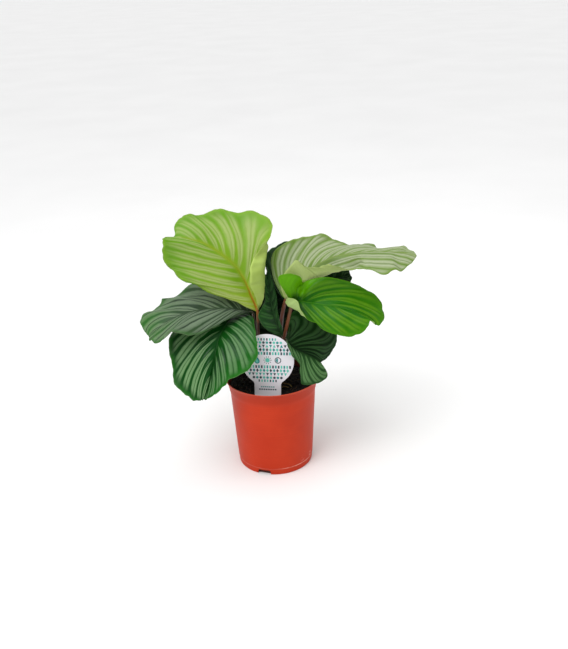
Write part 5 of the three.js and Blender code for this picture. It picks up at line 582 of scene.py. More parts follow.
def soil_mat(name="peat", a=(7, 4, 3), b=(15, 9, 7), c=(30, 19, 13)):
    N = Nodes(name)
    obj = N.coords()
    n1 = N.noise(160.0, 5.0, 0.7, obj)
    n2 = N.noise(900.0, 4.0, 0.7, obj)
    col = N.mix(N.range(n1, 0.35, 0.7, 0.0, 1.0), srgb(*a), srgb(*b))
    col = N.mix(N.step(n2, 0.62, 0.74), col, srgb(*c))
    N.set(Base_Color=col)
    N.set(Roughness=N.range(n2, 0.3, 0.7, 0.82, 1.0))
    N.bsdf.inputs["Specular IOR Level"].default_value = 0.25
    N.set(Normal=N.bump(N.m("ADD", n1, n2), 0.9, 0.0012))
    return N.mat


def plastic_mat(name, colour, rough=0.3):
    N = Nodes(name)
    obj = N.coords()
    n1 = N.noise(45.0, 3.0, 0.5, obj)
    n2 = N.noise(1400.0, 3.0, 0.6, obj)
    dark = tuple(c * 0.94 for c in colour[:3]) + (1.0,)
    col = N.mix(N.range(n1, 0.35, 0.65, 0.0, 1.0), colour, dark)
    N.set(Base_Color=col)
    N.set(Roughness=N.range(n1, 0.3, 0.7, rough, rough + 0.12))
    N.set(Normal=N.bump(n2, 0.12, 0.0001))
    return N.mat


# ------------------------------------------------------------------ leaf looks
G = srgb
LOOKS = {
    "leaf_1": dict(dark=G(136, 184, 36), dark2=G(122, 174, 22), out=G(108, 174, 6), silver=G(180, 201, 122), core=G(202, 217, 156),
                   footc=G(174, 198, 64), foots=G(186, 206, 108), fc1=0.5, tipc=G(100, 164, 8), tips=G(150, 190, 88), tc0=0.6, tc1=1.15,
                   line=G(126, 158, 58), margin=G(140, 188, 50), edge=G(168, 196, 100), rib_base=G(196, 104, 10), rib_tip=G(160, 184, 44),
                   zone_c=G(166, 190, 42), zone=8.0, zone_k=0.5, w0=0.15, w1=0.35, grow=0.35, soft=0.15, silver_k=0.84, core_k=0.36, line_k=0.5, tone=(0.75, 0.73, 0.66),
                   rib0=0.16, rib1=0.55, rib_w=3.3, near1=0.10, far0=0.72, far1=1.02, foot1=0.05, spec=0.2, coat=0.02),
    # leaf_2: the dark footc and foots at its foot are painted shade
    "leaf_2": dict(dark=G(44, 70, 44), dark2=G(54, 82, 52), out=G(60, 94, 52), silver=G(126, 150, 120), core=G(146, 168, 138),
                   tipc=G(40, 112, 26), tips=G(98, 146, 78), tc0=0.68, tc1=1.1, footc=G(24, 42, 20), foots=G(70, 94, 62), fc0=0.05, fc1=0.45, line=G(40, 62, 42), margin=G(70, 132, 50), edge=G(118, 148, 100),
                   rib_base=G(56, 70, 42), rib_tip=G(70, 98, 62), zone_c=G(48, 72, 46), zone_k=0.3, zone=3.0, w0=0.22, w1=0.385, grow=0.3, soft=0.055,
                   silver_k=0.95, core_k=0.35, line_k=0.95, line_w=0.085, tone=(0.72, 0.71, 0.70), near1=0.05, far0=0.84, far1=1.04, far_n=0.3, foot1=0.16, spec=0.25, coat=0.03),
    # leaf_3: the near-black footc and the dark foots at its foot are painted shade
    "leaf_3": dict(dark=G(6, 62, 12), dark2=G(16, 86, 18), out=G(30, 112, 24), silver=G(100, 142, 90), core=G(134, 170, 122), silver_r=G(132, 170, 116), core_r=G(164, 194, 150),
                   dark_r=G(8, 76, 16), footc=G(3, 42, 8), foots=G(50, 88, 46), fc0=0.1, fc1=0.45,
                   out_foot=G(14, 124, 4), line=G(12, 68, 22), margin=G(52, 130, 36), edge=G(128, 174, 100), rib_base=G(20, 60, 20), rib_tip=G(34, 96, 30),
                   zone_c=G(4, 56, 10), zone_k=0.6, zone=4.5, w0=0.07, w1=0.35, grow=0.6, soft=0.05, near0=0.03, near1=0.13, far0=0.82, far1=0.97,
                   silver_k=0.93, core_k=0.5, foot1=0.2, r0=0.32, r1=0.44, spec=0.11, coat=0.10, coat_r=0.16, tone=(0.68, 0.76, 0.68)),
    # leaf_4: the pale silver bands and near-white band cores are partly the stripes' own colour and partly a painted
    # sheen; the darker footc and foots at its foot are painted shade
    "leaf_4": dict(dark=G(122, 156, 70), dark2=G(134, 166, 82), out=G(120, 158, 60), silver=G(186, 202, 162), core=G(226, 234, 226),
                   footc=G(108, 150, 44), foots=G(140, 170, 96), fc1=0.4, line=G(108, 130, 84), margin=G(134, 174, 60), edge=G(184, 202, 130),
                   rib_base=G(140, 152, 72), rib_tip=G(150, 172, 96), zone_c=G(140, 174, 82), zone_k=0.25, w0=0.24, w1=0.40, grow=0.3, soft=0.06,
                   silver_k=0.88, core_k=0.62, line_k=0.85, near1=0.06, far0=0.86, far1=1.03, r0=0.30, r1=0.42, spec=0.22, coat=0.06, foot1=0.2, tone=(0.62, 0.62, 0.50)),
    # leaf_5: the dark footc and foots over its lower part are painted shade, and the lobe colour is painted light
    "leaf_5": dict(dark=G(44, 120, 2), dark2=G(56, 132, 4), out=G(80, 148, 12), silver=G(124, 170, 42), core=G(148, 188, 72),
                   footc=G(12, 74, 0), foots=G(54, 114, 8), fc0=0.1, fc1=0.65, lobe=G(136, 206, 0), lobe_u=(0.30, 0.40), line=G(44, 108, 6),
                   margin=G(116, 170, 40), edge=G(160, 200, 88), rib_base=G(52, 84, 4), rib_tip=G(90, 152, 22), zone_c=G(40, 112, 2), zone_k=0.4,
                   w0=0.10, w1=0.35, grow=0.5, soft=0.09, silver_k=0.76, core_k=0.35, line_k=0.5, tone=(0.47, 0.63, 0.22), near1=0.10, far0=0.80, far1=0.98, r0=0.32, r1=0.46,
                   spec=0.09, coat=0.05, coat_r=0.2),
    # leaf_6: the near-black left half is painted shade, the lighter right half (dark_r, silver_r, core_r) is painted
    # lit
    "leaf_6": dict(dark=G(10, 34, 14), dark2=G(16, 46, 18), out=G(20, 62, 16), silver=G(74, 98, 72), core=G(96, 118, 92),
                   dark_r=G(54, 86, 52), silver_r=G(134, 160, 122), core_r=G(158, 180, 146), line=G(14, 36, 18), margin=G(40, 86, 38),
                   edge=G(110, 144, 98), rib_base=G(26, 44, 22), rib_tip=G(30, 58, 28), zone_c=G(12, 34, 14), zone_k=0.4, w0=0.12, w1=0.36, grow=0.5,
                   soft=0.09, silver_k=0.85, core_k=0.35, near1=0.10, far0=0.84, far1=1.02, spec=0.08, coat=0.03, tone=(0.42, 0.64, 0.38)),
    "leaf_7": dict(dark=G(20, 58, 26), dark2=G(30, 76, 34), out=G(34, 84, 36), silver=G(74, 122, 68), core=G(98, 144, 90),
                   line=G(14, 46, 22), margin=G(52, 102, 46), edge=G(130, 164, 110), rib_base=G(34, 62, 28), rib_tip=G(42, 84, 38),
                   zone_c=G(18, 52, 24), w0=0.1, w1=0.3, silver_k=0.6, core_k=0.25, spec=0.18, coat=0.04, tone=(0.48, 0.62, 0.42)),
    # leaf_8 and leaf_9 sit deep in the crown: their near-black colours are painted shade
    "leaf_8": dict(dark=G(12, 34, 16), dark2=G(18, 44, 20), out=G(22, 52, 22), silver=G(52, 76, 50), core=G(70, 94, 68),
                   line=G(10, 28, 14), margin=G(34, 70, 30), edge=G(90, 120, 78), rib_base=G(22, 40, 20), rib_tip=G(26, 52, 24),
                   zone_c=G(10, 30, 14), w0=0.12, w1=0.34, silver_k=0.8, core_k=0.3, spec=0.1, coat=0.0),
    # leaf_9: near-black colours, painted shade
    "leaf_9": dict(dark=G(6, 20, 8), dark2=G(9, 28, 12), out=G(12, 34, 14), silver=G(32, 52, 32), core=G(44, 66, 44),
                   line=G(5, 18, 8), margin=G(22, 48, 20), edge=G(60, 86, 52), rib_base=G(14, 28, 12), rib_tip=G(16, 36, 16),
                   zone_c=G(6, 20, 8), w0=0.12, w1=0.32, silver_k=0.8, core_k=0.3, spec=0.06, coat=0.0),
}
UNDER = {
    "leaf_1": blade_under("under_1", G(170, 194, 92), G(184, 206, 118), G(150, 180, 72), 0.3, 0.25),
    "leaf_2": blade_under("under_2", G(118, 142, 108), G(140, 160, 126), G(104, 130, 92)),
    "leaf_3": blade_under("under_3", G(110, 142, 98), G(132, 160, 118), G(98, 130, 82)),
    "leaf_4": blade_under("under_4", G(166, 184, 108), G(180, 198, 128), G(142, 166, 84), 0.3, 0.5),
    "leaf_5": blade_under("under_5", G(150, 176, 100), G(166, 188, 122), G(128, 160, 76), 0.3, 0.5),
    # the dark underside of leaf_8 and leaf_9 is painted shade
    "leaf_9": blade_under("under_9", G(40, 62, 38), G(52, 74, 48), G(34, 54, 32)),
}
UNDER["leaf_6"] = UNDER["leaf_7"] = UNDER["leaf_2"]
UNDER["leaf_8"] = UNDER["leaf_9"]
# height of the pleats, in millimetres
# scallops along the margin and its waves out of the blade's face, in millimetres
WAVE = {"leaf_1": (0.9, 0.9), "leaf_2": (1.0, 0.8), "leaf_3": (0.9, 1.2), "leaf_4": (0.8, 0.7), "leaf_5": (0.8, 0.8), "leaf_6": (0.6, 0.5),
        "leaf_7": (0.5, 0.4), "leaf_8": (0.8, 0.7), "leaf_9": (0.9, 0.8)}
PLEAT = {"leaf_1": 0.38, "leaf_2": 0.55, "leaf_3": 0.6, "leaf_4": 0.55, "leaf_5": 0.5, "leaf_6": 0.45, "leaf_7": 0.35, "leaf_8": 0.45,
         "leaf_9": 0.45}


# Lateral veins of each blade: for the left and the right half (period in mm, start, bend, sweep
# towards the tip in mm at the foot, the middle and the tip of the blade). A fifth number makes the
# veins turn and run along the midrib from there on, as a share of the blade's length; a sixth one bows
# them further towards the tip half way out, in mm.
VEINS = {
    "leaf_1": ((13.5, 0.10, 1.1, (10, 28, 34)), (15.0, 0.30, 1.3, (6, 10, 16))),
    "leaf_2": ((18.0, 0.20, 0.8, (6, 14, 26)), (24.0, 0.10, 0.8, (10, 30, 40))),
    "leaf_3": ((13.0, 0.00, 1.6, (4, 12, 18)), (13.5, 0.37, 1.6, (4, 12, 18))),
    "leaf_4": ((16.0, 0.10, 1.0, (6, 22, 50)), (15.0, 0.40, 1.0, (4, 8, 8), 0.42)),
    "leaf_5": ((22.0, 0.20, 0.8, (6, 34, 44)), (17.0, 0.55, 1.2, (6, 14, 22))),
    "leaf_6": ((11.5, 0.25, 0.6, (14, 26, 20), 9.0, 17.0), (9.5, 0.10, 1.5, (2, 12, 14))),
    "leaf_7": ((12.0, 0.00, 1.2, (6, 12, 12)), (12.0, 0.37, 1.2, (6, 12, 12))),
    "leaf_8": ((14.0, 0.00, 1.2, (4, 12, 18)), (14.0, 0.37, 1.2, (4, 16, 24))),
    "leaf_9": ((14.0, 0.00, 1.2, (4, 12, 18)), (14.0, 0.37, 1.2, (4, 12, 18))),
}


def vein_phase(name, S, v, uu, seed):
    """Vein count at each point of a blade: whole numbers lie in the middle of the dark bands."""
    nu, W = S.shape[:2]
    c = W // 2
    ph = np.zeros((nu, W))
    dl = np.linalg.norm(np.diff(S, axis=1), axis=2)
    dist = np.zeros((nu, W))
    dist[:, c + 1:] = np.cumsum(dl[:, c:], axis=1)
    dist[:, :c] = np.cumsum(dl[:, :c][:, ::-1], axis=1)[:, ::-1]
    for k, (target, cols) in enumerate(((-0.5, slice(0, c)), (0.5, slice(c, W)))):
        period, start, bend, sweep = VEINS[name][k][:4]
        j = np.argmin(abs(v - target))
        step = np.linalg.norm(np.diff(S[:, j], axis=0), axis=1)
        turn = np.zeros(nu)
        if len(VEINS[name][k]) == 5:
            t = np.clip((uu - VEINS[name][k][4] + 0.10) / 0.20, 0.0, 1.0)
            turn = t * t * (3 - 2 * t)
        a = np.r_[0, np.cumsum(step * (1 - 0.93 * turn[1:]))]
        lean = np.interp(uu, (0.0, 0.5, 1.0), sweep)[:, None] * np.abs(v[None, cols]) ** bend
        if len(VEINS[name][k]) == 6:
            q = np.abs(v[None, cols])
            lean = lean + VEINS[name][k][5] * 4 * q * (1 - q)
        lean = lean * (1 - turn[:, None]) + dist[:, cols] * turn[:, None]
        p = a[:, None] - lean
        ph[:, cols] = p / period + start + 0.07 * np.sin(p * 0.085 + seed) + 0.05 * np.sin(p * 0.21 + 2.0 * seed)
    return ph


def build_blade(name, rows, seed):
    net = np.array(rows, float)
    K = len(net)
    nu, ns = (190, 36)
    pleat = PLEAT[name]
    # even steps along the blade
    tt = np.linspace(0, K - 1, 500)
    A = catmull(net, tt)
    seg = lambda c: np.linalg.norm(np.diff(A[:, c], axis=0), axis=1)
    step = 0.35 * seg(4) + 0.4 * (seg(2) + seg(6)) / 1.0 + 0.1 * (seg(0) + seg(8))
    arc = np.r_[0, np.cumsum(step)]
    us = np.interp(np.linspace(0, arc[-1], nu), arc, tt)
    s = np.linspace(0, 1, ns + 1)
    s = 0.38 * s + 0.62 * s**1.7
    A = catmull(net, us)
    L = np.moveaxis(catmull(np.moveaxis(A[:, 4::-1], 1, 0), s * 4), 0, 1)
    R = np.moveaxis(catmull(np.moveaxis(A[:, 4:], 1, 0), s * 4), 0, 1)
    S = np.concatenate([L[:, ::-1], R[:, 1:]], 1)
    W = S.shape[1]
    c = ns
    v = np.r_[-s[::-1], s[1:]]
    # distance from the midrib, along the surface
    dl = np.linalg.norm(np.diff(S, axis=1), axis=2)
    md = np.zeros((nu, W))
    md[:, c + 1:] = np.cumsum(dl[:, c:], axis=1)
    md[:, :c] = np.cumsum(dl[:, :c][:, ::-1], axis=1)[:, ::-1]
    uu = np.interp(us, tt, arc / arc[-1])
    ph = vein_phase(name, S, v, uu, seed)
    av = np.abs(v)[None, :]
    du = np.gradient(S, axis=0)
    dv = np.gradient(S, axis=1)
    n = np.cross(dv, du)
    n /= np.linalg.norm(n, axis=2, keepdims=True) + 1e-9
    # smooth the normals a little along the blade
    for _ in range(3):
        n[1:-1] = 0.25 * n[:-2] + 0.5 * n[1:-1] + 0.25 * n[2:]
    n /= np.linalg.norm(n, axis=2, keepdims=True) + 1e-9
    f = np.mod(ph, 1.0)
    amp = pleat * smooth(av, 0.04, 0.32) * (1 - 0.35 * smooth(av, 0.85, 1.0)) * smooth(uu, 0.0, 0.08)[:, None] * (1 - smooth(uu, 0.94, 1.0))[:, None]
    h = amp * (np.sin(2 * np.pi * f) ** 2 - 0.5) - 0.5 * amp * np.exp(-((f - 0.5) / 0.05) ** 2)
    half = md[:, [0, -1]].max(axis=1)
    # gentle random swell and a slightly restless margin
    P = S.reshape(-1, 3)
    sw = vnoise(P, 0.035, seed, 2).reshape(nu, W)
    mw = vnoise(P, 0.16, seed + 5, 2).reshape(nu, W)
    h = h + 0.9 * sw * smooth(av, 0.1, 0.6) * smooth(uu, 0.02, 0.2)[:, None] * (1 - smooth(uu, 0.85, 1.0))[:, None] + 0.45 * mw * smooth(av, 0.82, 1.0) * smooth(uu, 0.03, 0.2)[:, None] * (1 - smooth(uu, 0.85, 1.0))[:, None]
    edge = smooth(av, 0.72, 1.0) * smooth(uu, 0.03, 0.15)[:, None] * (1 - smooth(uu, 0.93, 1.0))[:, None]
    out = dv / (np.linalg.norm(dv, axis=2, keepdims=True) + 1e-9) * np.sign(v)[None, :, None]
    lobe = np.abs(np.sin(np.pi * ph)) - 0.64 + 0.9 * vnoise(P + 40.0, 0.12, seed + 9, 2).reshape(nu, W)
    S = S + out * (WAVE[name][0] * lobe * edge)[..., None]
    h = h + WAVE[name][1] * edge * (0.6 * np.sin(2 * np.pi * ph + seed) + 1.4 * vnoise(P + 80.0, 0.055, seed + 3, 2).reshape(nu, W))
    ribr = 0.35 + 1.25 * (1 - uu[:, None]) ** 0.9
    groove = 0.45 * np.exp(-(md / 0.9) ** 2) * (1 - uu[:, None]) ** 0.4
    rib = ribr * np.sqrt(np.clip(1 - (md / (ribr * 1.15)) ** 2, 0, 1))
    T = 0.27 * (1 - 0.5 * smooth(av, 0.93, 1.0))
    top = S + n * (h - groove + T)[..., None]
    und = S + n * (h - T - rib)[..., None]
    V = np.concatenate([top.reshape(-1, 3), und.reshape(-1, 3)]) * MM
    idx = np.arange(nu * W).reshape(nu, W)
    a, b, cc, d = idx[:-1, :-1], idx[:-1, 1:], idx[1:, 1:], idx[1:, :-1]
    F1 = np.stack([a, b, cc, d], -1).reshape(-1, 4)
    F2 = np.stack([a, d, cc, b], -1).reshape(-1, 4) + nu * W
    ring = np.concatenate([idx[0, :], idx[1:, -1], idx[-1, -2::-1], idx[-2:0:-1, 0]])
    nxt = np.roll(ring, -1)
    F3 = np.stack([nxt, ring, ring + nu * W, nxt + nu * W], -1)
    faces = np.concatenate([F1, F2, F3])
    mi = np.r_[np.zeros(len(F1)), np.ones(len(F2)), np.zeros(len(F3))]
    # unwrapped coordinates: upper side left, underside right
    uvx = (0.5 + 0.5 * v)[None, :] * np.ones((nu, 1))
    uvy = uu[:, None] * np.ones((1, W))
    UVt = np.stack([0.01 + 0.47 * uvx, 0.01 + 0.98 * uvy], -1).reshape(-1, 2)
    UVb = UVt + np.array([0.5, 0.0])
    UV = np.concatenate([UVt, UVb])
    uv = UV[faces.reshape(-1)]
    uv3 = UV[np.where(F3 < nu * W, F3, F3 - nu * W)].reshape(-1, 2)
    uv[-len(F3) * 4:] = uv3
    two = lambda x: np.tile((x * np.ones((nu, W))).reshape(-1), 2)
    ob = make_mesh(name + "_blade", V, faces.tolist(), [blade_top(name + "_top", LOOKS[name]), UNDER[name]], mi,
                   dict(ph=two(ph), vv=two(v[None, :]), uu=two(uu[:, None]), md=two(md)), uv)
    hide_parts(name)
    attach(ob, "root")
    mid = S[:, c]
    return ob, mid, n[:, c]


def tube(points, radii, sides, ridges=0.0, seed=0.0):
    """Closed tube along a polyline; returns verts, faces and the length share of each vertex."""
    P = np.asarray(points, float)
    n = len(P)
    T = np.gradient(P, axis=0)
    T /= np.linalg.norm(T, axis=1)[:, None]
    nor = np.cross(T[0], [0.0, 1.0, 0.0])
    nor /= np.linalg.norm(nor)
    V, tt = [], []
    for i in range(n):
        nor = nor - T[i] * nor.dot(T[i])
        nor /= np.linalg.norm(nor)
        oth = np.cross(T[i], nor)
        for k in range(sides):
            a = 2 * math.pi * k / sides
            r = radii[i] * (1 + ridges * math.sin(5 * a + seed + i * 0.01) + 0.5 * ridges * math.sin(9 * a + 2 * seed))
            V.append(P[i] + nor * r * math.cos(a) + oth * r * math.sin(a))
            tt.append(i / (n - 1))
    F = []
    for i in range(n - 1):
        for k in range(sides):
            a, b = i * sides + k, i * sides + (k + 1) % sides
            F.append((a, b, b + sides, a + sides))
    V.append(P[0] - T[0] * radii[0] * 0.5)
    tt.append(0.0)
    V.append(P[-1])
    tt.append(1.0)
    first, last = len(V) - 2, len(V) - 1
    for k in range(sides):
        m = (k + 1) % sides
        F.append((first, m, k))
        F.append((last, (n - 1) * sides + k, (n - 1) * sides + m))
    return np.array(V), F, np.array(tt)


def resample(points, count):
    P = np.asarray(points, float)
    d = np.r_[0, np.cumsum(np.sqrt(np.linalg.norm(np.diff(P, axis=0), axis=1)))]
    # centripetal spline through the points
    Q = [2 * P[0] - P[1], *P, 2 * P[-1] - P[-2]]
    out = []
    for i in range(len(P) - 1):
        p0, p1, p2, p3 = Q[i], Q[i + 1], Q[i + 2], Q[i + 3]
        t0 = 0.0
        t1 = t0 + np.linalg.norm(p1 - p0) ** 0.5
        t2 = t1 + np.linalg.norm(p2 - p1) ** 0.5
        t3 = t2 + np.linalg.norm(p3 - p2) ** 0.5
        for t in np.linspace(t1, t2, 24, endpoint=(i == len(P) - 2)):
            a1 = (t1 - t) / (t1 - t0) * p0 + (t - t0) / (t1 - t0) * p1
            a2 = (t2 - t) / (t2 - t1) * p1 + (t - t1) / (t2 - t1) * p2
            a3 = (t3 - t) / (t3 - t2) * p2 + (t - t2) / (t3 - t2) * p3
            b1 = (t2 - t) / (t2 - t0) * a1 + (t - t0) / (t2 - t0) * a2
            b2 = (t3 - t) / (t3 - t1) * a2 + (t - t1) / (t3 - t1) * a3
            out.append((t2 - t) / (t2 - t1) * b1 + (t - t1) / (t2 - t1) * b2)
    out = np.array(out)
    a = np.r_[0, np.cumsum(np.linalg.norm(np.diff(out, axis=0), axis=1))]
    s = np.linspace(0, a[-1], count)
    return np.stack([np.interp(s, a, out[:, k]) for k in range(3)], -1)


STALK = {
    1: stalk_mat("stalk_1", G(90, 44, 24), G(62, 30, 18), G(160, 96, 20), 0.22),
    2: stalk_mat("stalk_2", G(70, 42, 24), G(56, 32, 22), G(64, 66, 34)),
    3: stalk_mat("stalk_3", G(80, 48, 30), G(56, 32, 22), G(54, 76, 32)),
    4: stalk_mat("stalk_4", G(96, 42, 24), G(54, 24, 16), G(120, 66, 30), 0.24),
    5: stalk_mat("stalk_5", G(124, 68, 36), G(78, 38, 22), G(86, 60, 26), 0.24),
    6: stalk_mat("stalk_6", G(72, 44, 30), G(50, 28, 20), G(44, 54, 28)),
}
for k in (7, 8, 9):
    STALK[k] = STALK[6]

blades = {}
for i, (name, rows) in enumerate(BLADE_NETS.items()):
    ob, mid, nor = build_blade(name, rows, 1.3 * i + 0.7)
    blades[name] = (mid, nor)

for name, line in PETIOLE_LINES.items():
    k = int(name.split("_")[1])
    mid, nor = blades[f"leaf_{k}"]
    # run the stalk on into the underside of the midrib
    j = np.searchsorted(np.r_[0, np.cumsum(np.linalg.norm(np.diff(mid, axis=0), axis=1))], [4.0, 1.5])
    lead = [mid[j[0]] - nor[j[0]] * 1.0, mid[j[1]] - nor[j[1]] * 0.6]
    pts = resample(lead + [np.array(p) for p in line["pts"][:]], 150)
    t = np.linspace(0, 1, len(pts))
    r = line["top"] * 0.86 + (line["foot"] * 0.95 - line["top"] * 0.86) * smooth(t, 0.1, 0.9)
    r = r * (1 + 0.12 * np.exp(-((t - 0.09) / 0.05) ** 2))           # the swollen joint below the blade
    r = r * (1 + 0.16 * smooth(t, 0.52, 0.60))                        # the sheath that wraps the foot
    r[:6] *= np.linspace(0.55, 1.0, 6)
    V, F, tt = tube(pts, r, 20, 0.025, k)
    ob = make_mesh(name + "_stalk", V * MM, F, [STALK[k]], None, dict(tt=tt))
    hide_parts(name)
    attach(ob, "root")

# ------------------------------------------------------------------ pot
OUT = [(FOOT_R - 0.8, 0.0), (FOOT_R - 0.25, 0.25), (FOOT_R, 0.9), (FOOT_R + 0.12, 4.0), (FOOT_R + 0.25, 7.4), (FOOT_R + 0.45, 8.1), (FOOT_R + 0.85, 8.6), (FOOT_R + 1.0, 9.3), (FOOT_R + 1.05, 10.5),
       (50.8, 20.0), (51.5, 32.0), (52.7, 52.0), (54.0, 73.0), (55.0, 89.0), (55.6, 100.0), (55.85, 103.0), (56.15, 104.6), (56.5, 105.9), (56.85, 107.2), (57.15, 108.6), (57.55, 110.8),
       (58.2, 114.2), (59.0, 117.4), (59.9, 119.9), (60.9, 121.7), (61.75, 122.7), (62.2, 123.2), (62.2, 123.55), (61.95, 123.85), (61.6, 123.9)]


def wall_r(z):
    return float(np.interp(z, [p[1] for p in OUT], [p[0] for p in OUT]))


ftop = FLOOR_Z + FLOOR_T
IN = [(61.2, 123.75), (60.6, 123.2), (59.6, 121.4), (58.6, 119.2), (57.6, 116.4), (56.6, 112.6), (56.0, 108.0)] + [
    (wall_r(z) - WALL, z) for z in (103.0, 95.0, 80.0, 60.0, 40.0, 20.0, 10.0)] + [(46.8, 6.2), (45.6, 4.3), (44.2, ftop)]
prof = [(0.0, FLOOR_Z), (20.0, FLOOR_Z), (FOOT_R - 6.8, FLOOR_Z), (FOOT_R - 6.2, 1.5), (FOOT_R - 5.6, 0.4), (FOOT_R - 4.9, 0.0), (FOOT_R - 3.0, 0.0)] + OUT + IN + [(30.0, ftop), (0.0, ftop)]


def lathe(profile, seg):
    V, F = [], []
    rings = []
    for r, z in profile:
        if r == 0.0:
            rings.append([len(V)] * seg)
            V.append((0, 0, z))
        else:
            rings.append(list(range(len(V), len(V) + seg)))
            V += [(r * math.cos(2 * math.pi * k / seg), r * math.sin(2 * math.pi * k / seg), z) for k in range(seg)]
    for a, b in zip(rings, rings[1:]):
        for k in range(seg):
            m = (k + 1) % seg
            f = []
            for x in (a[k], a[m], b[m], b[k]):
                if x not in f:
                    f.append(x)
            if len(f) > 2:
                F.append(tuple(f))
    return np.array(V, float), F


def prism(outline, z0, z1):
    n = len(outline)
    V = [(x, y, z0) for x, y in outline] + [(x, y, z1) for x, y in outline]
    F = [tuple(range(n - 1, -1, -1)), tuple(range(n, 2 * n))] + [(k, (k + 1) % n, n + (k + 1) % n, n + k) for k in range(n)]
    return np.array(V, float), F


V, F = lathe(prof, 220)
pot = make_mesh("nursery_pot", V * MM, F, [pot_mat()])
cut_v, cut_f = [], []


def add_cut(V, F):
    o = sum(len(v) for v in cut_v)
    cut_v.append(V)
    cut_f.extend([tuple(i + o for i in f) for f in F])


for q in range(3):
    a = math.radians(NOTCH_FIRST + 120 * q)
    w, h, r = 8.5, 6.2, 2.2
    o = [(-w - 0.6, -1.0), (w + 0.6, -1.0), (w, h - r)]
    o += [(w - r + r * math.cos(t), h - r + r * math.sin(t)) for t in np.linspace(0.2, math.pi / 2, 5)]
    o += [(-w + r + r * math.cos(t), h - r + r * math.sin(t)) for t in np.linspace(math.pi / 2, math.pi - 0.2, 5)]
    o += [(-w, h - r)]
    Vn, Fn = prism(o, 45.1, 55.2)
    M = np.array([[-math.sin(a), 0, math.cos(a)], [math.cos(a), 0, math.sin(a)], [0, 1, 0]])
    add_cut(Vn @ M.T, Fn)
for q in range(6):
    a = 2 * math.pi * (q + 0.5) / 6
    o = [(30 * math.cos(a) + 5 * math.cos(t), 30 * math.sin(a) + 5 * math.sin(t)) for t in np.linspace(0, 2 * math.pi, 25)[:-1]]
    add_cut(*prism(o, FLOOR_Z - 1.5, ftop + 1.5))
cutter = make_mesh("cutter", np.concatenate(cut_v) * MM, cut_f, [])
for ob in (pot, cutter):
    me = ob.data
    import bmesh
    bm = bmesh.new()
    bm.from_mesh(me)
    bmesh.ops.recalc_face_normals(bm, faces=bm.faces)
    bm.to_mesh(me)
    bm.free()
mod = pot.modifiers.new("cuts", "BOOLEAN")
mod.operation = "DIFFERENCE"
mod.solver = "EXACT"
mod.object = cutter
bpy.context.view_layer.update()
deps = bpy.context.evaluated_depsgraph_get()
done = bpy.data.meshes.new_from_object(pot.evaluated_get(deps))
pot.modifiers.clear()
pot.data = done
bpy.data.objects.remove(cutter)
done.polygons.foreach_set("use_smooth", np.full(len(done.polygons), True))
done.set_sharp_from_angle(angle=math.radians(38))
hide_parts("pot")
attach(pot, "root")

# ------------------------------------------------------------------ soil
rng = np.random.default_rng(7)
NR, NS = 46, 150
rr = np.sqrt(np.linspace(0.0, 1.0, NR)) * SOIL_R
pts = []
for r in rr[1:]:
    for k in range(NS):
        a = 2 * math.pi * k / NS
        pts.append((r * math.cos(a), r * math.sin(a), 0.0))
pts = np.array([(0, 0, 0)] + pts)
rad = np.hypot(pts[:, 0], pts[:, 1])
hz = SOIL_Z + 1.2 * (1 - (rad / 55) ** 2) - 1.6 * smooth(rad, 45, 55)
hz = hz - 2.6 * smooth(-pts[:, 1], 18, 36)
bumpy = 1.3 * vnoise(pts, 0.09, 3, 3) + 1.2 * vnoise(pts, 0.32, 4, 3)
hz = hz + bumpy * (1 - 0.6 * smooth(rad, 52, 55))
pts[:, 2] = hz
V = [tuple(p) for p in pts]
F = [(0, 1 + k, 1 + (k + 1) % NS) for k in range(NS)]
for i in range(NR - 2):
    for k in range(NS):
        a, b = 1 + i * NS + k, 1 + i * NS + (k + 1) % NS
        F.append((a, a + NS, b + NS, b))
last = 1 + (NR - 2) * NS
prev = last
for z in (104.0, 80.0, 50.0, 20.0, 9.0, ftop + 0.3):
    rz = (np.interp(z, [ftop, 9.0, 20.0, 104.0], [44.2, 48.1, wall_r(20) - WALL, wall_r(104) - WALL])) - 0.25
    start = len(V)
    V += [(rz * math.cos(2 * math.pi * k / NS), rz * math.sin(2 * math.pi * k / NS), z) for k in range(NS)]
    for k in range(NS):
        m = (k + 1) % NS
        F.append((prev + k, start + k, start + m, prev + m))
    prev = start
V.append((0, 0, ftop + 0.3))
for k in range(NS):
    F.append((prev + k, len(V) - 1, prev + (k + 1) % NS))
# crumbs of peat
ICO = []
phi = (1 + 5**0.5) / 2
iv = np.array([(-1, phi, 0), (1, phi, 0), (-1, -phi, 0), (1, -phi, 0), (0, -1, phi), (0, 1, phi), (0, -1, -phi), (0, 1, -phi), (phi, 0, -1), (phi, 0, 1), (-phi, 0, -1), (-phi, 0, 1)], float)
iv /= np.linalg.norm(iv[0])
it = [(0, 11, 5), (0, 5, 1), (0, 1, 7), (0, 7, 10), (0, 10, 11), (1, 5, 9), (5, 11, 4), (11, 10, 2), (10, 7, 6), (7, 1, 8), (3, 9, 4), (3, 4, 2), (3, 2, 6), (3, 6, 8), (3, 8, 9), (4, 9, 5), (2, 4, 11), (6, 2, 10), (8, 6, 7), (9, 8, 1)]
mid_cache = {}
iv = [tuple(x) for x in iv]


def midpoint(a, b):
    key = (min(a, b), max(a, b))
    if key not in mid_cache:
        p = np.array(iv[a]) + np.array(iv[b])
        p /= np.linalg.norm(p)
        iv.append(tuple(p))
        mid_cache[key] = len(iv) - 1
    return mid_cache[key]


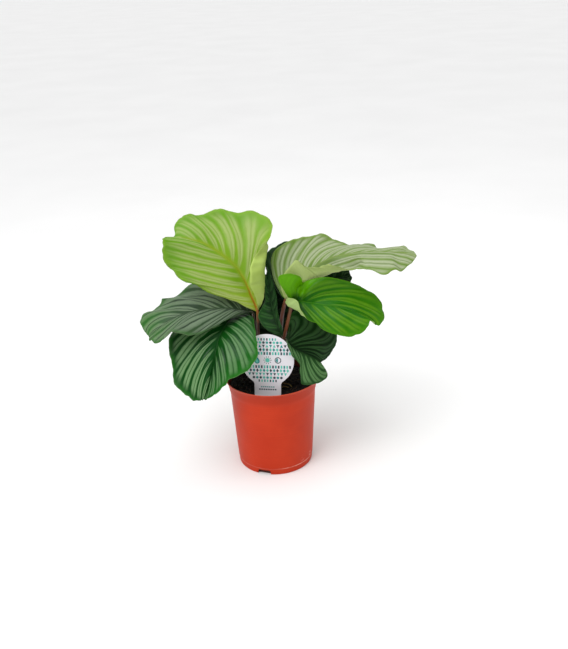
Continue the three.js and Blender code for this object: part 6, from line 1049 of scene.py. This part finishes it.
it2 = []
for a, b, c in it:
    ab, bc, ca = midpoint(a, b), midpoint(b, c), midpoint(c, a)
    it2 += [(a, ab, ca), (b, bc, ab), (c, ca, bc), (ab, bc, ca)]
iv = np.array(iv)
base_count = len(F)
top_z = lambda x, y: SOIL_Z - 2.6 * float(smooth(-y, 18, 36)) + 1.2 * (1 - (math.hypot(x, y) / 55) ** 2) - 1.6 * float(smooth(math.hypot(x, y), 45, 55)) + 1.3 * noise.fractal(Vector((x, y, 0)) * 0.09 + Vector((3 * 13.7, 3 * 7.3, 3 * 3.1)), 1.0, 2.0, 3) + 1.2 * noise.fractal(Vector((x, y, 0)) * 0.32 + Vector((4 * 13.7, 4 * 7.3, 4 * 3.1)), 1.0, 2.0, 3)
V = [np.array(p) for p in V]
mi = [0] * len(F)
for q in range(620):
    r, a = 52.0 * math.sqrt(rng.random()), 2 * math.pi * rng.random()
    x, y = r * math.cos(a), r * math.sin(a)
    size = 0.7 + 2.0 * rng.random() ** 2.2
    if y < -20:
        size = min(size, 1.1)
    sc = size * np.array([1.0, 0.6 + 0.6 * rng.random(), 0.5 + 0.4 * rng.random()])
    rot = Matrix.Rotation(rng.random() * 6.28, 3, "Z") @ Matrix.Rotation(rng.random() * 1.2, 3, "X")
    o = len(V)
    seed = Vector((q * 3.1, q * 1.7, 0))
    for p in iv:
        k = 1 + 0.35 * noise.noise(Vector(p) * 1.6 + seed)
        w = rot @ Vector(p * sc * k)
        V.append(np.array((x + w.x, y + w.y, top_z(x, y) + 0.25 * size + w.z)))
    F += [tuple(i + o for i in f) for f in it2]
    mi += [1 if rng.random() < 0.35 else 0] * len(it2)
# short fibres and bark slivers
for q in range(110):
    r, a = 50.0 * math.sqrt(rng.random()), 2 * math.pi * rng.random()
    x, y = r * math.cos(a), r * math.sin(a)
    ang, ln, rd = rng.random() * 6.28, 2.5 + 6 * rng.random(), 0.16 + 0.3 * rng.random()
    bend = rng.normal() * 0.25
    p = []
    for s_ in np.linspace(-0.5, 0.5, 6):
        px, py = x + ln * s_ * math.cos(ang + bend * s_), y + ln * s_ * math.sin(ang + bend * s_)
        if math.hypot(px, py) > 52.5:
            px, py = px * 0.9, py * 0.9
        p.append((px, py, top_z(px, py) + 0.5 + 0.6 * rng.random()))
    tv, tf, _ = tube(np.array(p), [rd * 0.5, rd, rd, rd, rd, rd * 0.5], 5)
    o = len(V)
    V += list(tv)
    F += [tuple(i + o for i in f) for f in tf]
    mi += [2] * len(tf)
# a dry twig that lies across the peat
for line, rad in (([(6.0, -8.5), (11.5, -10.5), (17.0, -12.5), (21.5, -16.5), (24.5, -22.0)], 1.0), ([(9.0, -24.0), (14.0, -22.5), (20.5, -23.5)], 0.7)):
    p = resample([(x, y, top_z(x, y) + 1.6) for x, y in line], 26)
    tv, tf, _ = tube(p, rad * (0.55 + 0.45 * np.sin(np.linspace(0.3, 2.9, 26))), 9, 0.08, 2.0)
    o = len(V)
    V += list(tv)
    F += [tuple(i + o for i in f) for f in tf]
    mi += [3] * len(tf)
soil = make_mesh("peat_soil", np.array(V) * MM, F, [soil_mat(), soil_mat("peat_crumb", (20, 14, 11), (34, 24, 18), (52, 37, 26)), soil_mat("peat_fibre", (58, 40, 26), (84, 60, 38), (112, 84, 56)), soil_mat("dry_twig", (96, 76, 44), (120, 100, 58), (150, 128, 84))], mi)
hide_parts("soil")
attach(soil, "root")

# ------------------------------------------------------------------ plant tag
t_out = np.array([math.sin(TAG_AZ), -math.cos(TAG_AZ), 0.0])
t_side = np.array([math.cos(TAG_AZ), math.sin(TAG_AZ), 0.0])
t_up = np.array([0, 0, math.cos(TAG_LEAN)]) - math.sin(TAG_LEAN) * t_out
t_nor = np.cross(t_side, t_up)
t_org = t_out * TAG_RADIUS + np.array([0, 0, SOIL_Z - 0.5])


def tag_point(x, y, lift):
    bow = -0.9 * (x / 34.0) ** 2 + 0.5 * (y / 60.0) ** 2
    return t_org + t_side * x + t_up * y + t_nor * (lift + bow)


def tag_outline():
    w, r = TAG_STEM_W / 2, TAG_DISC_R
    a0 = -math.pi / 2 + math.asin(w / r)
    o = [(-w + 14, -TAG_DEPTH), (w - 14, -TAG_DEPTH), (w - 4.5, -7), (w, 0), (w, TAG_DISC_H + r * math.sin(a0) - 2.5)]
    for a in np.linspace(a0 + 0.05, 1.5 * math.pi - math.asin(w / r) - 0.05, 90):
        o.append((r * math.cos(a), TAG_DISC_H + r * math.sin(a)))
    o += [(-w, TAG_DISC_H + r * math.sin(a0) - 2.5), (-w, 0), (-w + 4.5, -7)]
    return o


def sheet_of(outline, lift0, lift1):
    """A thin plate over a convex-ish outline, made of rings round the centroid so that it can bow."""
    o = np.array(outline)
    n = len(o)
    c = np.array([0.0, TAG_DISC_H]) if abs(o[:, 1]).max() > 60 else o.mean(0)
    V, F = [], []
    rings = [0.0, 0.3, 0.6, 0.85, 0.985, 1.0]
    for side, lift in ((0, lift1), (1, lift0)):
        start = len(V)
        V.append(tag_point(*c, lift))
        for k, s_ in enumerate(rings[1:]):
            eb = 0.12 * (lift1 - lift0) if s_ == 1.0 else 0.0
            lf = lift - eb if side == 0 else lift + eb
            V += [tag_point(*(c + (p - c) * s_), lf) for p in o]
        for j in range(n):
            m = (j + 1) % n
            f = [start, start + 1 + j, start + 1 + m]
            F.append(tuple(f if side == 0 else f[::-1]))
            for k in range(len(rings) - 2):
                a, b = start + 1 + k * n + j, start + 1 + k * n + m
                f = [a, a + n, b + n, b]
                F.append(tuple(f if side == 0 else f[::-1]))
    half = len(V) // 2
    for j in range(n):
        m = (j + 1) % n
        a, b = half - n + j, half - n + m
        F.append((a, a + half, b + half, b))
    return V, F


V, F = sheet_of(tag_outline(), -TAG_T / 2, TAG_T / 2)
mi = [0] * len(F)
V = list(V)


def flat(outline, colour, layer=0):
    """A printed patch: a flat polygon just proud of the tag's face."""
    o = np.array(outline, float)
    area = 0.5 * np.sum(o[:, 0] * np.roll(o[:, 1], -1) - np.roll(o[:, 0], -1) * o[:, 1])
    if area < 0:
        o = o[::-1]
    start = len(V)
    lift = TAG_T / 2 + 0.05 + 0.03 * layer
    for x, y in o:
        V.append(tag_point(x, y, lift))
    F.append(tuple(range(start, start + len(o))))
    mi.append(colour)


def circle(x, y, r, n=28):
    return [(x + r * math.cos(2 * math.pi * k / n), y + r * math.sin(2 * math.pi * k / n)) for k in range(n)]


def ring_of(x, y, r0, r1, a0, a1, colour, n=40):
    for k in range(n):
        p, q = a0 + (a1 - a0) * k / n, a0 + (a1 - a0) * (k + 1) / n
        flat([(x + r0 * math.cos(p), y + r0 * math.sin(p)), (x + r1 * math.cos(p), y + r1 * math.sin(p)),
              (x + r1 * math.cos(q), y + r1 * math.sin(q)), (x + r0 * math.cos(q), y + r0 * math.sin(q))], colour)


def drop(x, y, r, n=24):
    o = [(x, y + 1.9 * r)]
    for k in range(n + 1):
        a = math.radians(38) - k * (math.pi + math.radians(76)) / n
        o.append((x + r * math.cos(a), y + r * math.sin(a)))
    return o


CY0 = TAG_DISC_H
TEAL, SLATE, MINT = 1, 2, 3
# plain shapes in rows above and below, three care symbols between them, two rules of dashes on the stem
def motif(kind, x, y, h, colour):
    if kind == "dot":
        flat(circle(x, y, 0.86 * h, 14), colour)
    elif kind == "up":
        flat([(x - h * 0.92, y - h * 0.8), (x + h * 0.92, y - h * 0.8), (x, y + h * 1.05)], colour)
    elif kind == "down":
        flat([(x - h * 0.92, y + h * 0.8), (x, y - h * 1.05), (x + h * 0.92, y + h * 0.8)], colour)
    elif kind == "diamond":
        flat([(x - h * 0.86, y), (x, y - h * 1.2), (x + h * 0.86, y), (x, y + h * 1.2)], colour)
    else:
        flat([(x - h * 0.58, y - h), (x + h * 0.58, y - h), (x + h * 0.58, y + h), (x - h * 0.58, y + h)], colour)


for off, kind, pitch, h, first in ((8.8, "bar", 3.6, 1.9, 0), (13.6, "diamond", 4.3, 2.1, 1), (18.4, "up", 4.6, 2.1, 2), (23.0, "dot", 4.4, 2.0, 0), (27.2, "bar", 3.6, 1.6, 1)):
    for sign in (1, -1):
        count = int(math.sqrt(31.2**2 - (off + h) ** 2) / pitch)
        for k in range(-count, count + 1):
            kk = "down" if kind == "up" and (k % 2 or sign < 0) else kind
            motif(kk, k * pitch, CY0 + sign * off, h, (TEAL, SLATE, MINT, TEAL, MINT, SLATE)[(k + first + (3 if sign < 0 else 0)) % 6])
flat(drop(-13.0, CY0 - 1.6, 3.4), TEAL)
flat(drop(-13.0, CY0 - 1.9, 1.7), MINT, 1)
flat(circle(0.3, CY0, 2.9), MINT)
for k in range(10):
    a = 2 * math.pi * k / 10
    c_, s_ = math.cos(a), math.sin(a)
    flat([(0.3 + 3.7 * c_ - 0.5 * s_, CY0 + 3.7 * s_ + 0.5 * c_), (0.3 + 3.7 * c_ + 0.5 * s_, CY0 + 3.7 * s_ - 0.5 * c_),
          (0.3 + 5.2 * c_ + 0.35 * s_, CY0 + 5.2 * s_ - 0.35 * c_), (0.3 + 5.2 * c_ - 0.35 * s_, CY0 + 5.2 * s_ + 0.35 * c_)], SLATE)
ring_of(13.6, CY0, 3.1, 4.2, 0, 2 * math.pi, SLATE)
flat([(13.6 + 2.7 * math.cos(a), CY0 + 2.7 * math.sin(a)) for a in np.linspace(math.pi / 2, 1.5 * math.pi, 18)], TEAL)
for k in range(7):
    x = -7.8 + 2.6 * k
    flat([(x - 0.85, 11.0), (x + 0.85, 11.0), (x + 0.85, 12.5), (x - 0.85, 12.5)], TEAL)
for k in range(8):
    x = -10.2 + 2.9 * k
    flat([(x - 1.0, 7.4), (x + 1.0, 7.4), (x + 1.0, 9.2), (x - 1.0, 9.2)], SLATE)
tag = make_mesh("care_tag", np.array(V) * MM, F,
                [plastic_mat("tag_white", srgb(226, 223, 229), 0.32), plastic_mat("tag_teal", srgb(0, 138, 134), 0.35),
                 plastic_mat("tag_slate", srgb(34, 58, 66), 0.35), plastic_mat("tag_mint", srgb(88, 190, 170), 0.35)], mi)
tag.data.set_sharp_from_angle(angle=math.radians(40))
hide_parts("plant_tag")
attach(tag, "root")

# ------------------------------------------------------------------ floor, light, camera
floor_m = Nodes("studio_floor")
fn = floor_m.noise(3.0, 3.0, 0.5, floor_m.coords())
floor_m.set(Base_Color=floor_m.mix(floor_m.range(fn, 0.3, 0.7, 0.0, 1.0), (0.90, 0.90, 0.90, 1), (0.93, 0.93, 0.93, 1)))
floor_m.bsdf.inputs["Roughness"].default_value = 0.9
floor_m.bsdf.inputs["Specular IOR Level"].default_value = 0.1
Fn = 24
gx = np.linspace(-1, 1, Fn + 1)
gx = np.sign(gx) * np.abs(gx) ** 2 * 30.0
FV = [(x, y, -0.0002) for y in gx for x in gx]
FF = [(j * (Fn + 1) + i, j * (Fn + 1) + i + 1, (j + 1) * (Fn + 1) + i + 1, (j + 1) * (Fn + 1) + i) for j in range(Fn) for i in range(Fn)]
floor = make_mesh("floor", FV, FF, [floor_m.mat])

scene = bpy.context.scene
scene.view_settings.view_transform = "Standard"
scene.view_settings.look = "None"
world = bpy.data.worlds.new("studio")
world.use_nodes = True
# a white backdrop and ceiling, and a dimmer room on the camera's side
wt = world.node_tree
w_tc = wt.nodes.new("ShaderNodeTexCoord")
w_sep = wt.nodes.new("ShaderNodeSeparateXYZ")
w_sum = wt.nodes.new("ShaderNodeMath")
w_sum.operation = "MULTIPLY_ADD"
w_map = wt.nodes.new("ShaderNodeMapRange")
w_map.interpolation_type = "SMOOTHSTEP"
wt.links.new(w_tc.outputs["Generated"], w_sep.inputs[0])
wt.links.new(w_sep.outputs[2], w_sum.inputs[0])
w_sum.inputs[1].default_value = 0.5
wt.links.new(w_sep.outputs[1], w_sum.inputs[2])
wt.links.new(w_sum.outputs[0], w_map.inputs["Value"])
for key, value in (("From Min", -0.7), ("From Max", 0.6), ("To Min", WORLD_FRONT), ("To Max", WORLD_BACK)):
    w_map.inputs[key].default_value = value
wt.nodes["Background"].inputs[0].default_value = (1.0, 1.0, 1.0, 1.0)
# the pale band round the horizon looks the same from every side
w_abs = wt.nodes.new("ShaderNodeMath")
w_abs.operation = "ABSOLUTE"
w_hor = wt.nodes.new("ShaderNodeMapRange")
w_hor.interpolation_type = "SMOOTHSTEP"
w_max = wt.nodes.new("ShaderNodeMath")
w_max.operation = "MAXIMUM"
wt.links.new(w_sep.outputs[2], w_abs.inputs[0])
wt.links.new(w_abs.outputs[0], w_hor.inputs["Value"])
for key, value in (("From Min", 0.10), ("From Max", 0.28), ("To Min", 0.8), ("To Max", 0.0)):
    w_hor.inputs[key].default_value = value
wt.links.new(w_map.outputs["Result"], w_max.inputs[0])
wt.links.new(w_hor.outputs["Result"], w_max.inputs[1])
wt.links.new(w_max.outputs[0], wt.nodes["Background"].inputs[1])
scene.world = world


def area(name, loc, target, size, energy, colour=(1, 1, 1)):
    L = bpy.data.lights.new(name, "AREA")
    L.shape = "RECTANGLE"
    L.size, L.size_y = size
    L.energy = energy
    L.color = colour
    o = bpy.data.objects.new(name, L)
    o.location = loc
    o.rotation_euler = (Vector(target) - Vector(loc)).to_track_quat("-Z", "Y").to_euler()
    scene.collection.objects.link(o)


area("key", (-0.75, -0.95, 1.55), (0, 0, 0.22), (0.9, 0.7), KEY)
area("top", (0.25, 0.35, 1.45), (0.02, 0, 0.25), (1.0, 0.8), TOP)
area("fill", (1.2, -1.1, 0.8), (0, 0, 0.2), (0.9, 0.9), FILL)
sun = bpy.data.lights.new("sky", "SUN")
sun.energy = SUN
sun.angle = math.radians(56)
so = bpy.data.objects.new("sky", sun)
so.rotation_euler = Vector((0.35, 0.45, -1.0)).to_track_quat("-Z", "Y").to_euler()
scene.collection.objects.link(so)

d, cz, beta, gamma, rho, f = 1000.0, 626.7, 0.4091, 0.0181, -0.0404, 852.96
fwd = Vector((math.sin(gamma) * math.cos(beta), math.cos(gamma) * math.cos(beta), -math.sin(beta)))
right = Vector((math.cos(gamma), -math.sin(gamma), 0))
up = right.cross(fwd)
R2 = math.cos(rho) * right + math.sin(rho) * up
U2 = -math.sin(rho) * right + math.cos(rho) * up
cam_data = bpy.data.cameras.new("camera")
cam_data.sensor_fit = "VERTICAL"
cam_data.sensor_height = 24.0
cam_data.lens = f * 24.0 / 649.0
cam_data.clip_start = 0.01
cam_data.clip_end = 100.0
cam = bpy.data.objects.new("camera", cam_data)
cam.matrix_world = Matrix((
    (R2.x, U2.x, -fwd.x, 0.0),
    (R2.y, U2.y, -fwd.y, -d * MM),
    (R2.z, U2.z, -fwd.z, cz * MM),
    (0, 0, 0, 1)))
scene.collection.objects.link(cam)
scene.camera = cam
